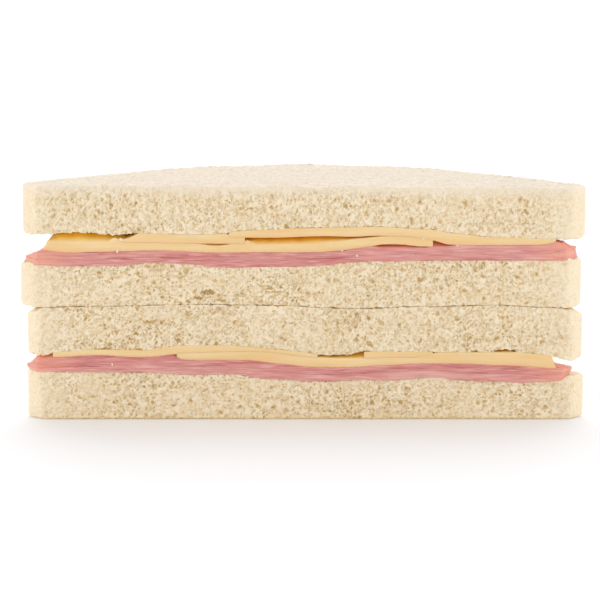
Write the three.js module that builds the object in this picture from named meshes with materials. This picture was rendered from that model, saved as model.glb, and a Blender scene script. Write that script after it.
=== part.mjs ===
import * as THREE from 'three';

// A ham and cheese sandwich with its crusts cut off, cut from corner to corner, with one
// triangular half stacked on the other. Millimetres, +Z up. X runs along the two cut faces,
// which look towards -Y, and the right-angled corners of both halves point towards +Y.
// Depth is always counted backwards from the cut face.

// Plan of a half
const TIP_TO_TIP = 134.4;
const CUT_FACE_WIDTH = 126.8;
const TIP_SETBACK = 4.5;
const CORNER_RADIUS = 8;

// The four half slices of bread don't lie exactly over each other, and some are a little larger
const BOTTOM_SLICE = { larger: 0.35, right: 0.6 };
const LOWER_LID = { larger: 0, right: 0.5 };
const UPPER_BASE = { larger: 0.5, right: -0.5 };
const TOP_SLICE = { larger: 0.7, right: 0.25 };
const LOWER_HAM_RIGHT = -0.85;
const UPPER_HAM_RIGHT = -0.5;

// Room between two layers that rest on each other
const LAYER_GAP = 0.3;

// The knife leaves the fillings a little ahead of the bread on the cut faces
const BREAD_SETBACK = 0.4;
const CHEESE_SETBACK = 0.2;

// The layers follow their cut edges near the front and lie smoother farther back
const SETTLED_FROM = 18;
const CORNER_SAGS_FROM = 38;

// The tips of the lower half sag away from the half above
const TIPS_SAG_FROM = 57;
const TIPS_SAG = 1.5;

// How closely the layers are divided at the cut face, at the tips and behind them
const FRONT_STEP = 1.8;
const TIP_STEP = 3.6;
const BACK_STEP = 7.5;
const ROW_STEP = 6.5;

const HALF_SPAN = TIP_TO_TIP / 2;
const SIDES_MEET = TIP_SETBACK + HALF_SPAN;
const CORNER_CENTRE = SIDES_MEET - CORNER_RADIUS * Math.SQRT2;
const CORNER_STARTS = CORNER_CENTRE + CORNER_RADIUS / Math.SQRT2;
const CORNER_ENDS = CORNER_CENTRE + CORNER_RADIUS * 0.97;

// Half the width of the sandwich at a depth: the soft tip, the straight side, the round corner.
function halfWidth(depth) {
  if (depth < TIP_SETBACK) {
    return THREE.MathUtils.lerp(CUT_FACE_WIDTH / 2, HALF_SPAN, depth / TIP_SETBACK);
  }
  if (depth < CORNER_STARTS) {
    return SIDES_MEET - depth;
  }
  return Math.sqrt(CORNER_RADIUS ** 2 - (depth - CORNER_CENTRE) ** 2);
}

// A soft line of heights through a few [x, height] pairs, level beyond its two ends.
function softLine(pairs) {
  return (x) => {
    const after = pairs.findIndex(([at]) => at > x);
    if (after === 0) {
      return pairs[0][1];
    }
    if (after < 0) {
      return pairs[pairs.length - 1][1];
    }
    const [x0, z0] = pairs[after - 1];
    const [x1, z1] = pairs[after];
    return THREE.MathUtils.lerp(z0, z1, THREE.MathUtils.smoothstep(x, x0, x1));
  };
}

// The face between two layers: its edge at the cut, how it lies farther back, and how much
// it rises at the back corner, where no cheese reaches.
function face(atCut, settled, cornerRise = 0) {
  const cutLine = softLine(atCut);
  const settledLine = softLine(settled);
  return (x, depth) => {
    const back = THREE.MathUtils.smoothstep(depth, 0, SETTLED_FROM);
    const corner = THREE.MathUtils.smoothstep(depth, CORNER_SAGS_FROM, CORNER_ENDS);
    return THREE.MathUtils.lerp(cutLine(x), settledLine(x), back) + cornerRise * corner;
  };
}

const justAbove = (surface) => (x, depth) => surface(x, depth) + LAYER_GAP / 2;
const justBelow = (surface) => (x, depth) => surface(x, depth) - LAYER_GAP / 2;
const level = (height) => () => height;

// Faces of the lower half, from its base upwards
const lowerHamSeat = face(
  [[-64, 11.7], [-48, 11.6], [-37, 11.5], [-26, 10.9], [-17.5, 11.1], [-8, 9.9], [4, 9.3],
    [14, 9.7], [21, 9.5], [30, 10.3], [40, 9.5], [52, 9.1], [60, 9.3], [67.5, 10.9]],
  [[-67, 11.2], [0, 10.2], [67, 9.8]],
);
const lowerHamSplit = face(
  [[-66, 12.4], [-54, 12.8], [-39, 13.3], [-25, 12.8], [-13, 12.7], [-5.5, 11.6], [4, 10.9],
    [18, 11.3], [30, 12], [40, 11.4], [59, 10.75], [67, 11.9]],
  [[-67, 13], [0, 12.1], [67, 11.6]],
  0.6,
);
const lowerHamTop = face(
  [[-66, 13.1], [-60.5, 14.8], [-55, 15], [-49, 15.3], [-39, 14.8], [-34, 15], [-27, 14.5],
    [-13, 14.4], [-5.5, 13.5], [2, 12.7], [11, 12.7], [20, 13.1], [27, 13.6], [35, 13.6], [52, 13],
    [60, 12.4], [67, 12.5]],
  [[-34, 15], [0, 13.9], [67, 13.2]],
  1.2,
);
const lowerCheeseSplit = face(
  [[-60, 15.1], [-49, 15.6], [-39, 15.1], [-35, 15.3], [-31, 15.8], [-28, 16.3], [-13, 16.6],
    [-8, 16.4], [-3, 15.8], [1, 15.3], [4, 14.95], [8, 14.82], [18, 14.85], [21, 15.1], [27, 15.1],
    [31.6, 15.95], [34.5, 16.33], [45, 16.33], [51, 16.2], [57, 15.7], [61, 14.9]],
  [[-67, 15.4], [-34, 15.8], [0, 15.5], [67, 15]],
);
const lowerLidUnder = face(
  [[-66.5, 15], [-63, 15.8], [-59, 16.4], [-50, 17], [-37, 16.8], [-30, 18], [-18, 18.1],
    [-12.5, 17.7], [-5.5, 16.9], [-1, 16.6], [4.1, 15.6], [6.5, 15.15], [11.2, 15.54], [13.6, 16.1],
    [16, 16.55], [28, 16.5], [34.5, 16.38], [44.6, 16.35], [46.6, 17.05], [49.6, 17],
    [51.2, 16.4], [57, 15.9], [61, 15.25], [64.5, 14.4]],
  [[-67, 16.9], [-30, 17.3], [0, 17], [30, 16.7], [67, 15.9]],
  -0.4,
);
const seam = face(
  [[-67, 27.2], [-46, 27.6], [-25, 28], [-3, 27.7], [6.5, 27.1], [16, 27], [28, 27.4],
    [47, 27.8], [57, 27.2], [67, 26.9]],
  [[-67, 27.4], [0, 27.6], [67, 27.4]],
  -0.3,
);
const lowerLidTop = (x, depth) => {
  const sag = TIPS_SAG * THREE.MathUtils.smoothstep(Math.abs(x), TIPS_SAG_FROM, HALF_SPAN);
  return seam(x, depth) - sag;
};

// Faces of the upper half
const upperHamSeat = face(
  [[-67, 37.9], [-58, 37.3], [-44, 37.4], [-36, 38.2], [-30, 38], [-19, 37], [-1, 37.2], [4, 37.4],
    [12, 38.3], [17, 38.5], [36, 38.7], [58, 38.7]],
  [[-67, 37.6], [0, 37.6], [67, 38.2]],
);
const upperHamSplit = face(
  [[-67, 38.7], [-57, 38.9], [-41, 39], [-33, 39.5], [-25, 38.6], [-3, 38.7], [6.5, 39.2],
    [14, 39.8], [30, 40.2], [58, 40.3], [64, 41.4]],
  [[-67, 39.2], [0, 39.2], [67, 40]],
  0.6,
);
const upperHamTop = face(
  [[-67, 39.4], [-62.5, 41.2], [-57, 40.25], [-48, 40.4], [-33, 40.8], [-22, 40.2], [4, 40.3], [9, 40.6],
    [18, 41.6], [27, 41.6], [36, 42], [57.5, 42.1], [61, 43], [63.5, 43.4]],
  [[-67, 40.8], [0, 40.8], [67, 42]],
  1.3,
);
const wideSliceUnder = face(
  [[-62.4, 41.5], [-60, 41], [-57, 40.55], [-48, 40.8], [-33, 41.15], [-22, 40.6], [4, 40.7], [9, 41.1],
    [14, 41.7], [20, 42.8], [23, 42.7], [29, 42.1]],
  [[-67, 41.1], [0, 41.1], [31, 42.1]],
);
const wideSliceTop = face(
  [[-62, 43.3], [-57, 43], [-48, 42.9], [-33, 42.6], [-26, 42.5], [-21, 41.9], [-16, 42.3],
    [2, 42.4], [9, 43.1], [14, 43.8], [18.5, 44.2], [24, 44.2], [31.5, 43.3]],
  [[-67, 42.7], [0, 42.6], [31, 43.4]],
);
const stripUnder = face(
  [[-45, 43.2], [-38, 43], [-31, 42.9], [-14, 42.8]],
  [[-45, 43.1], [-14, 43]],
);
const stripTop = face(
  [[-45, 43.5], [-34, 44.1], [-14, 44]],
  [[-45, 43.5], [-34, 43.8], [-14, 43.8]],
);
const overSliceUnder = face(
  [[-18, 44.3], [-8, 44.3], [5, 44.7], [12, 44.5], [18, 44.8], [24, 44.6], [31, 43.7],
    [34, 42.7], [38, 42.4], [57.5, 42.4], [61, 43.2]],
  [[-18, 43], [0, 43], [31, 43.8], [40, 42.6], [67, 42.4]],
);
const upperLidUnder = face(
  [[-67, 44.8], [-52, 45.5], [-45, 44.9], [-40, 45.2], [-27, 44.8], [-20, 44.9], [-14, 45.8],
    [-1, 46.4], [18, 46.7], [30, 46.1], [36, 45.1], [45, 44.2], [58, 43.9], [67, 43.7]],
  [[-67, 44.6], [0, 44.9], [31, 45.3], [45, 44.2], [67, 43.8]],
  -1.5,
);
const upperLidTop = face(
  [[-67, 56.9], [0, 56.5], [67, 56.2]],
  [[-67, 57], [0, 56.9], [67, 56.7]],
  -1.8,
);

// Plans that the layers are cut to. Each gives the left and right end of a row at a depth.
// A whole slice that stops short of the tips and sides by an inset, and lies a little to the right.
function insetHalf(inset, right = 0) {
  return {
    back: CORNER_ENDS - inset,
    left: (depth) => right - halfWidth(depth + inset / 2) + inset / 2,
    right: (depth) => right + halfWidth(depth + inset / 2) - inset / 2,
  };
}

// The cut half of a square cheese slice. It lies along one side of the bread, with its sharp corner
// worn down to where it reaches, and its end edge is parallel to the other side, so it narrows
// backwards to a point.
function cheeseTriangle(outerInset, reach, endAt, side) {
  const outer = (depth) => side * Math.min(SIDES_MEET - depth - outerInset, reach);
  const end = (depth) => endAt + side * depth;
  return {
    back: (HALF_SPAN + TIP_SETBACK - outerInset - side * endAt) / 2 - 1.5,
    left: side < 0 ? outer : end,
    right: side < 0 ? end : outer,
  };
}

// A small torn strip of cheese between two places on the cut face.
function cheeseStrip(from, to, depthBack) {
  const taper = (to - from) * 0.35 / depthBack;
  return {
    back: depthBack,
    left: (depth) => from + taper * depth,
    right: (depth) => to - taper * depth,
  };
}

// Depths of the rows that a plan is divided into: one at the cut face, one at the widest line of
// the tips, evenly spaced ones along the sides, and closer ones round the back corner.
function rowDepths(setback, back) {
  const sideEnds = Math.min(back, CORNER_STARTS - 1);
  const steps = Math.max(2, Math.round((sideEnds - TIP_SETBACK) / ROW_STEP));
  const depths = [setback];
  for (let step = 0; step <= steps; step += 1) {
    depths.push(TIP_SETBACK + (sideEnds - TIP_SETBACK) * step / steps);
  }
  if (back > sideEnds) {
    depths.push(THREE.MathUtils.lerp(sideEnds, back, 0.6), back);
  }
  return depths;
}

// Joins two rows of points, each going from left to right, with triangles that face up.
function stitch(near, far) {
  const triangles = [];
  let i = 0;
  let j = 0;
  while (i < near.length - 1 || j < far.length - 1) {
    const nextNear = (i + 1) / (near.length - 1);
    const nextFar = (j + 1) / (far.length - 1);
    if (nextNear <= nextFar) {
      triangles.push([near[i], near[i + 1], far[j]]);
      i += 1;
    } else {
      triangles.push([near[i], far[j + 1], far[j]]);
      j += 1;
    }
  }
  return triangles;
}

// Unit vector out of a closed plan line at one of its points, for a line that runs anticlockwise.
function outward(points, index) {
  const before = points[(index + points.length - 1) % points.length];
  const after = points[(index + 1) % points.length];
  return new THREE.Vector2(after.y - before.y, before.x - after.x).normalize();
}

// One layer as a closed solid: an underside and a top over the same rows, and a wall between them.
// The wall can stand out by a bulge on the sides and tips, and stays flat on the cut face.
function layerGeometry({ low, high, lowPlan, highPlan = lowPlan, setback = 0, bulge = 0 }) {
  const positions = [];
  const addPoint = (x, depth, z) => {
    positions.push(x, depth, z);
    return positions.length / 3 - 1;
  };
  const depths = rowDepths(setback, Math.min(lowPlan.back, highPlan.back));
  const underside = [];
  const top = [];
  depths.forEach((depth, row) => {
    const width = lowPlan.right(depth) - lowPlan.left(depth);
    const step = [FRONT_STEP, TIP_STEP][row] ?? BACK_STEP;
    const spans = Math.max(2, Math.round(width / step));
    const rowLow = [];
    const rowHigh = [];
    for (let span = 0; span <= spans; span += 1) {
      const share = span / spans;
      const xLow = THREE.MathUtils.lerp(lowPlan.left(depth), lowPlan.right(depth), share);
      const xHigh = THREE.MathUtils.lerp(highPlan.left(depth), highPlan.right(depth), share);
      rowLow.push(addPoint(xLow, depth, low(xLow, depth)));
      rowHigh.push(addPoint(xHigh, depth, high(xHigh, depth)));
    }
    underside.push(rowLow);
    top.push(rowHigh);
  });

  const triangles = [];
  for (let row = 0; row < depths.length - 1; row += 1) {
    triangles.push(...stitch(top[row], top[row + 1]));
    triangles.push(...stitch(underside[row], underside[row + 1]).map(([a, b, c]) => [a, c, b]));
  }

  const rim = (rows) => [
    ...rows[0],
    ...rows.slice(1, -1).map((row) => row[row.length - 1]),
    ...rows[rows.length - 1].slice().reverse(),
    ...rows.slice(1, -1).reverse().map((row) => row[0]),
  ];
  const lowRim = rim(underside);
  const highRim = rim(top);
  const rings = [lowRim];
  if (bulge > 0) {
    const point = (index) => new THREE.Vector3().fromArray(positions, index * 3);
    const lowPoints = lowRim.map(point);
    const highPoints = highRim.map(point);
    [0.14, 0.86].forEach((share) => {
      rings.push(lowRim.map((_, index) => {
        const out = outward(lowPoints, index);
        const reach = lowPoints[index].y > setback ? bulge : 0;
        const middle = lowPoints[index].clone().lerp(highPoints[index], share);
        return addPoint(middle.x + out.x * reach, middle.y + out.y * reach, middle.z);
      }));
    });
  }
  rings.push(highRim);
  for (let ring = 0; ring < rings.length - 1; ring += 1) {
    for (let index = 0; index < lowRim.length; index += 1) {
      const next = (index + 1) % lowRim.length;
      const [a, b] = [rings[ring][index], rings[ring][next]];
      const [c, d] = [rings[ring + 1][index], rings[ring + 1][next]];
      triangles.push([a, b, d], [a, d, c]);
    }
  }

  const geometry = new THREE.BufferGeometry();
  geometry.setAttribute('position', new THREE.Float32BufferAttribute(positions, 3));
  geometry.setIndex(triangles.flat());
  geometry.computeVertexNormals();
  return geometry;
}

const breadCrumb = () => new THREE.MeshStandardMaterial({ color: 0xe9d3ad, roughness: 0.92, metalness: 0 });
const cookedHam = () => new THREE.MeshStandardMaterial({ color: 0xd9968f, roughness: 0.45, metalness: 0 });
const mildCheese = () => new THREE.MeshStandardMaterial({ color: 0xf0cb8e, roughness: 0.4, metalness: 0 });

const sandwich = new THREE.Group();

function addLayer(name, material, layer) {
  const mesh = new THREE.Mesh(layerGeometry(layer), material);
  mesh.name = name;
  sandwich.add(mesh);
}

// The bread is soft and stands out a little between the edges of its crust-cut sides.
const BREAD_BULGE = 0.6;

function addBread(name, low, high, { larger, right }) {
  const lowPlan = insetHalf(BREAD_BULGE - larger, right);
  addLayer(name, breadCrumb(), { low, high, lowPlan, setback: BREAD_SETBACK, bulge: BREAD_BULGE });
}

function addHam(name, low, high, insetLow, insetHigh, right) {
  const plans = { lowPlan: insetHalf(insetLow, right), highPlan: insetHalf(insetHigh, right) };
  addLayer(name, cookedHam(), { low, high, ...plans });
}

function addCheese(name, low, high, lowPlan, highPlan = lowPlan) {
  addLayer(name, mildCheese(), { low, high, lowPlan, highPlan, setback: CHEESE_SETBACK });
}

// Lower half
addBread('bread_bottom', level(0), justBelow(lowerHamSeat), BOTTOM_SLICE);
addHam('ham_lower_under', justAbove(lowerHamSeat), justBelow(lowerHamSplit), 1.6, 1,
  LOWER_HAM_RIGHT);
addHam('ham_lower_over', justAbove(lowerHamSplit), justBelow(lowerHamTop), 1, 3,
  LOWER_HAM_RIGHT);
addCheese('cheese_lower_wide', justAbove(lowerHamTop), justBelow(lowerCheeseSplit),
  cheeseTriangle(3.4, 61, -31, 1));
addCheese('cheese_lower_over', justAbove(lowerCheeseSplit), justBelow(lowerLidUnder),
  cheeseTriangle(5, 60.3, 4.1, -1));
addCheese('cheese_lower_strip', justAbove(lowerCheeseSplit), justBelow(lowerLidUnder),
  cheeseStrip(14.2, 31.6, 15));
addBread('bread_lower_lid', justAbove(lowerLidUnder), justBelow(lowerLidTop), LOWER_LID);

// Upper half
addBread('bread_upper_base', justAbove(seam), justBelow(upperHamSeat), UPPER_BASE);
addHam('ham_upper_under', justAbove(upperHamSeat), justBelow(upperHamSplit), 0.2, 0.8,
  UPPER_HAM_RIGHT);
addHam('ham_upper_over', justAbove(upperHamSplit), justBelow(upperHamTop), 0.8, 8,
  UPPER_HAM_RIGHT);
addCheese('cheese_upper_wide', wideSliceUnder, wideSliceTop,
  cheeseTriangle(3.8, 62.3, 31.6, -1), cheeseTriangle(5, 61, 31.6, -1));
addCheese('cheese_upper_strip', stripUnder, stripTop, cheeseStrip(-45, -13.3, 15));
addCheese('cheese_upper_over', overSliceUnder, justBelow(upperLidUnder),
  cheeseTriangle(3.8, 60.6, -18.3, 1));
addBread('bread_top', justAbove(upperLidUnder), upperLidTop, TOP_SLICE);

// The origin is on the surface that the sandwich stands on, under the middle of its box.
const box = new THREE.Box3().setFromObject(sandwich);
const middle = box.getCenter(new THREE.Vector3());
sandwich.position.set(-middle.x, -middle.y, 0);

export default sandwich;
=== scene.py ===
"""The looks of a crustless ham and cheese sandwich, cut corner to corner and stacked in two halves."""
import logging
import math
from dataclasses import dataclass, field
from enum import Enum
from typing import ClassVar

import bmesh
import bpy
import numpy as np
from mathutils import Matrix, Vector
from mathutils.bvhtree import BVHTree
from mathutils.geometry import delaunay_2d_cdt


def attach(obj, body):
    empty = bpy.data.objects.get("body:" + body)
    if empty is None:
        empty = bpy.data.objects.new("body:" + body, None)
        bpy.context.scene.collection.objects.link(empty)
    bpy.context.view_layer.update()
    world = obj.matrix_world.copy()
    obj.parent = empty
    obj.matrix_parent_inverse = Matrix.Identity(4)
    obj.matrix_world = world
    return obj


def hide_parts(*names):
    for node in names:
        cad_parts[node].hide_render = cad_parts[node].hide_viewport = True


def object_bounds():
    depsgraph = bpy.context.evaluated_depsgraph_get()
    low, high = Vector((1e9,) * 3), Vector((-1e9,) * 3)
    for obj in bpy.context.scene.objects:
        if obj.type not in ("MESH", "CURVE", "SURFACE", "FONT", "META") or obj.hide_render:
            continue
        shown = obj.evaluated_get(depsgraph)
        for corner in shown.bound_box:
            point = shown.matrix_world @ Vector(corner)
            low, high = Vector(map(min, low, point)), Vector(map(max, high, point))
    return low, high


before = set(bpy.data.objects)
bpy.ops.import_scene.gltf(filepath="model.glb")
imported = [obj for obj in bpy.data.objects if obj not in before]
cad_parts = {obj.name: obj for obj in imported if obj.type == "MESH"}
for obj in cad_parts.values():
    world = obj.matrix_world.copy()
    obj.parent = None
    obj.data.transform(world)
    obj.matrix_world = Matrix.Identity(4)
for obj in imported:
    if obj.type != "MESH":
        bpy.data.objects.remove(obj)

CAD_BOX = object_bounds()
MM = 0.001
BODY = "root"

log = logging.getLogger("sandwich")


def coarse(step: float) -> float:
    """Returns a mesh step, times a factor of 1 that can be raised to coarsen it."""
    return step * 1.0


def ease(share: np.ndarray) -> np.ndarray:
    """Returns a share from 0 to 1 with a soft start and end."""
    return share * share * (3 - 2 * share)


def smooth_step(values: np.ndarray, low: float, high: float) -> np.ndarray:
    """Returns a soft rise from 0 at the low value to 1 at the high one."""
    return ease(np.clip((values - low) / (high - low), 0, 1))


def arc(share: np.ndarray) -> np.ndarray:
    """Returns the height of a quarter circle, from 0 to 1, at a share of its run."""
    return np.sqrt(1 - (1 - share) ** 2)


def put_in_scene(name: str, data: bpy.types.ID) -> bpy.types.Object:
    """Makes an object and links it to the scene.

    Args:
        name: The object's name.
        data: Its mesh, camera or light.

    Returns:
        The object.
    """
    thing = bpy.data.objects.new(name, data)
    bpy.context.scene.collection.objects.link(thing)
    return thing


class Surface(Enum):
    """The two broad faces of a layer."""

    UNDER = -1
    TOP = 1


class Finish(Enum):
    """The finishes of the foods."""

    CRUMB = "bread"
    HAM = "ham"
    PALE_HAM = "ham, paler"
    CHEESE = "cheese"


@dataclass
class Outline:
    """A convex outline in plan, anticlockwise.

    Args:
        corners: One row of x and y for each corner, in metres.
    """

    FINE_BEHIND: ClassVar[float] = 12 * MM
    TINY: ClassVar[float] = 1e-12
    ON_EDGE: ClassVar[float] = 1e-6

    corners: np.ndarray

    @classmethod
    def around(cls, points: np.ndarray) -> "Outline":
        """Makes the tightest convex outline around points.

        Args:
            points: One row of x and y for each point.

        Returns:
            The outline.
        """
        order = sorted(set(map(tuple, np.round(points, 6).tolist())))

        def chain(run: list[tuple[float, float]]) -> list[tuple[float, float]]:
            """Returns the half of the outline that turns left along a run of points."""
            kept: list[tuple[float, float]] = []
            for x, y in run:
                while len(kept) > 1:
                    (ax, ay), (bx, by) = kept[-2], kept[-1]
                    if (bx - ax) * (y - ay) - (by - ay) * (x - ax) > 0:
                        break
                    kept.pop()
                kept.append((x, y))
            return kept[:-1]

        return cls(np.array(chain(order) + chain(order[::-1])))

    def reach(self, angles: np.ndarray, centre: np.ndarray) -> np.ndarray:
        """Gives the distance from a centre to the outline in each direction.

        Args:
            angles: Directions in plan, in radians.
            centre: A point inside the outline.

        Returns:
            One distance for each direction.
        """
        start = self.corners - centre
        step = np.roll(start, -1, axis=0) - start
        aim = np.stack([np.cos(angles), np.sin(angles)], axis=1)[:, None, :]
        cross = aim[..., 0] * step[None, :, 1] - aim[..., 1] * step[None, :, 0]
        safe = np.where(np.abs(cross) < self.TINY, self.TINY, cross)
        far = (start[:, 0] * step[:, 1] - start[:, 1] * step[:, 0])[None, :] / safe
        along = (start[None, :, 0] * aim[..., 1] - start[None, :, 1] * aim[..., 0]) / safe
        on_edge = (along > -self.ON_EDGE) & (along < 1 + self.ON_EDGE) & (far > 0)
        return np.where(on_edge, far, np.inf).min(axis=1)

    def depth_of(self, points: np.ndarray) -> np.ndarray:
        """Returns how far inside the outline each point lies, in metres."""
        ahead = np.roll(self.corners, -1, axis=0) - self.corners
        length = np.linalg.norm(ahead, axis=1)
        inward = np.stack([-ahead[:, 1], ahead[:, 0]], axis=1) / length[:, None]
        return ((points[:, None, :] - self.corners[None]) * inward[None]).sum(axis=2).min(axis=1)

    def stations(self, front_step: float, side_step: float, centre: np.ndarray) -> np.ndarray:
        """Walks round the outline from the back corner and notes the direction of each station.

        Args:
            front_step: Distance between stations on the cut face and the tips.
            side_step: Distance between stations on the sides.
            centre: The point that directions are taken from.

        Returns:
            Rising angles, in radians.
        """
        first = int(np.argmax(self.corners[:, 1]))
        corners = np.roll(self.corners, -first, axis=0)
        fine_to = self.corners[:, 1].min() + self.FINE_BEHIND
        every = max(1, round(side_step / front_step))
        points = []
        for here, there in zip(corners, np.roll(corners, -1, axis=0)):
            edge = there - here
            count = max(1, round(float(np.linalg.norm(edge)) / front_step))
            for k in range(count):
                point = here + edge * k / count
                if k % every == 0 or point[1] < fine_to:
                    points.append(point)
        away = np.array(points) - centre
        return np.unwrap(np.arctan2(away[:, 1], away[:, 0]))


class CadLayer:
    """One packed layer of the sandwich, read for its outlines and its two broad faces."""

    FLAT_ENOUGH: ClassVar[float] = 0.85
    FAR_UP: ClassVar[float] = 0.3
    MIDDLE: ClassVar[float] = 0.03
    RING: ClassVar[int] = 6

    def __init__(self, node: str) -> None:
        """Reads the layer.

        Args:
            node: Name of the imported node.
        """
        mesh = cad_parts[node].data
        mesh.calc_loop_triangles()
        points = np.array([v.co for v in mesh.vertices])
        faces = np.array([t.vertices for t in mesh.loop_triangles])
        normals = np.array([t.normal for t in mesh.loop_triangles])
        self.points, self.faces = points, faces
        self.outer = Outline.around(points[:, :2])
        self.outlines: dict[Surface, Outline] = {}
        self.trees: dict[Surface, BVHTree] = {}
        for surface in Surface:
            chosen = faces[normals[:, 2] * surface.value > self.FLAT_ENOUGH]
            self.outlines[surface] = Outline.around(points[chosen.ravel(), :2])
            self.trees[surface] = BVHTree.FromPolygons(points.tolist(), chosen.tolist())
        self.centre = self.outlines[Surface.TOP].corners.mean(axis=0)

    def heights(self, surface: Surface, points: np.ndarray) -> np.ndarray:
        """Gives the height of a broad face over points in plan.

        Args:
            surface: Which face.
            points: One row of x and y for each point.

        Returns:
            One height for each point. Beyond the face's edge it is the nearest edge's height.
        """
        tree = self.trees[surface]
        down = Vector((0, 0, -1))
        found = np.empty(len(points))
        for k, (x, y) in enumerate(points):
            hit = tree.ray_cast(Vector((x, y, self.FAR_UP)), down)[0]
            if hit is None:
                level = tree.find_nearest(Vector((x, y, self.MIDDLE)))[0]
                hit = tree.find_nearest(Vector((x, y, level.z)))[0]
            found[k] = hit.z
        return found

    def soft_heights(self, surface: Surface, points: np.ndarray, spread: float) -> np.ndarray:
        """Gives heights averaged over a small ring, which rounds off the facets.

        Args:
            surface: Which face.
            points: One row of x and y for each point.
            spread: Radius of the ring.

        Returns:
            One height for each point.
        """
        total = self.heights(surface, points)
        for k in range(self.RING):
            angle = 2 * math.pi * k / self.RING
            shift = spread * np.array([math.cos(angle), math.sin(angle)])
            total = total + self.heights(surface, points + shift)
        return total / (self.RING + 1)


def cloud(
    rng: np.random.Generator,
    across: np.ndarray,
    up: np.ndarray,
    cell: tuple[float, float],
    round_trip: float | None = None,
) -> np.ndarray:
    """Makes smooth random values from -1 to 1.

    Args:
        rng: The source of random numbers.
        across: Places along the wall.
        up: Places up the wall, of the same shape.
        cell: Size of a cell across and up.
        round_trip: Length of a closed line, at which the values meet their own start.

    Returns:
        One value for each place.
    """
    width = cell[0]
    count = int((across.max() - across.min()) / width) + 2
    if round_trip is not None:
        count = max(2, round(round_trip / width))
        width = round_trip / count
    u = (across - across.min()) / width
    v = (up - up.min()) / cell[1]
    lattice = rng.uniform(-1, 1, (count, int(v.max()) + 2))
    i, j = u.astype(int), v.astype(int)
    a, b = ease(u - i), ease(v - j)
    here, there = i % count, (i + 1) % count
    low = lattice[here, j] * (1 - a) + lattice[there, j] * a
    high = lattice[here, j + 1] * (1 - a) + lattice[there, j + 1] * a
    return low * (1 - b) + high * b


def blur_round(values: np.ndarray, reach: int) -> np.ndarray:
    """Averages each value with its neighbours on a closed line.

    Args:
        values: Values along the line, in the first axis.
        reach: How many neighbours on each side count.

    Returns:
        The averaged values.
    """
    if reach < 1:
        return values
    weights = np.hanning(2 * reach + 3)[1:-1]
    total = sum(w * np.roll(values, k - reach, axis=0) for k, w in enumerate(weights))
    return total / weights.sum()


@dataclass
class Wall:
    """The upright faces round a layer, as a grid of levels and stations.

    Args:
        along: Distance of each station round the outline.
        up: Height above the underside, for each level and station.
        place: Plan position of each level and station.
        outward: Plan direction out of the wall at each station. Its length is 1 on a straight wall
            and less at a sharp corner.
        length: Distance all the way round.
    """

    along: np.ndarray
    up: np.ndarray
    place: np.ndarray
    outward: np.ndarray
    length: float

    @property
    def across(self) -> np.ndarray:
        """Returns the distance round the outline for each level and station."""
        return np.broadcast_to(self.along, self.up.shape)

    def cloud(self, rng: np.random.Generator, wide: float, tall: float) -> np.ndarray:
        """Returns smooth random values from -1 to 1 over the wall, in cells of a size."""
        return cloud(rng, self.across, self.up, (wide, tall), self.length)


@dataclass(frozen=True)
class Fineness:
    """How closely a layer's mesh is divided.

    Args:
        front: Step along the cut face.
        side: Step along the sides.
        rise: Step up the wall.
        top: Step over the top face.
        under: Step over the underside.
    """

    front: float
    side: float
    rise: float
    top: float
    under: float


CRUMB_FINENESS = Fineness(0.16 * MM, 0.5 * MM, 0.165 * MM, 2.0 * MM, 2.0 * MM)
OPEN_CRUMB_FINENESS = Fineness(0.175 * MM, 0.5 * MM, 0.192 * MM, 0.5 * MM, 2.0 * MM)
SLICE_FINENESS = Fineness(0.30 * MM, 1.2 * MM, 0.12 * MM, 1.5 * MM, 1.5 * MM)


class Pile:
    """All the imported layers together, for the room that is left between them."""

    REACH: ClassVar[float] = 4.0 * MM
    START: ClassVar[float] = 0.02 * MM
    KEPT: ClassVar[float] = 0.28 * MM

    def __init__(self, layers: dict[str, CadLayer]) -> None:
        """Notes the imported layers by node."""
        self.layers = layers

    def room_above(self, node: str, points: np.ndarray, heights: np.ndarray) -> np.ndarray:
        """Gives how far each point of a top face may rise before it meets what lies over it.

        Args:
            node: The layer that the points belong to.
            points: Plan positions.
            heights: Heights of the points.

        Returns:
            One distance for each point.
        """
        corners: list[np.ndarray] = []
        faces: list[np.ndarray] = []
        count = 0
        for name, layer in self.layers.items():
            if name != node:
                corners.append(layer.points)
                faces.append(layer.faces + count)
                count += len(layer.points)
        tree = BVHTree.FromPolygons(np.concatenate(corners).tolist(), np.concatenate(faces).tolist())
        up = Vector((0, 0, 1))
        found = np.zeros(len(points))
        for k, ((x, y), z) in enumerate(zip(points, heights)):
            distance = tree.ray_cast(Vector((x, y, z + self.START)), up, self.REACH)[3]
            if distance is not None:
                found[k] = max(0.0, distance - self.KEPT)
        return found


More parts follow.
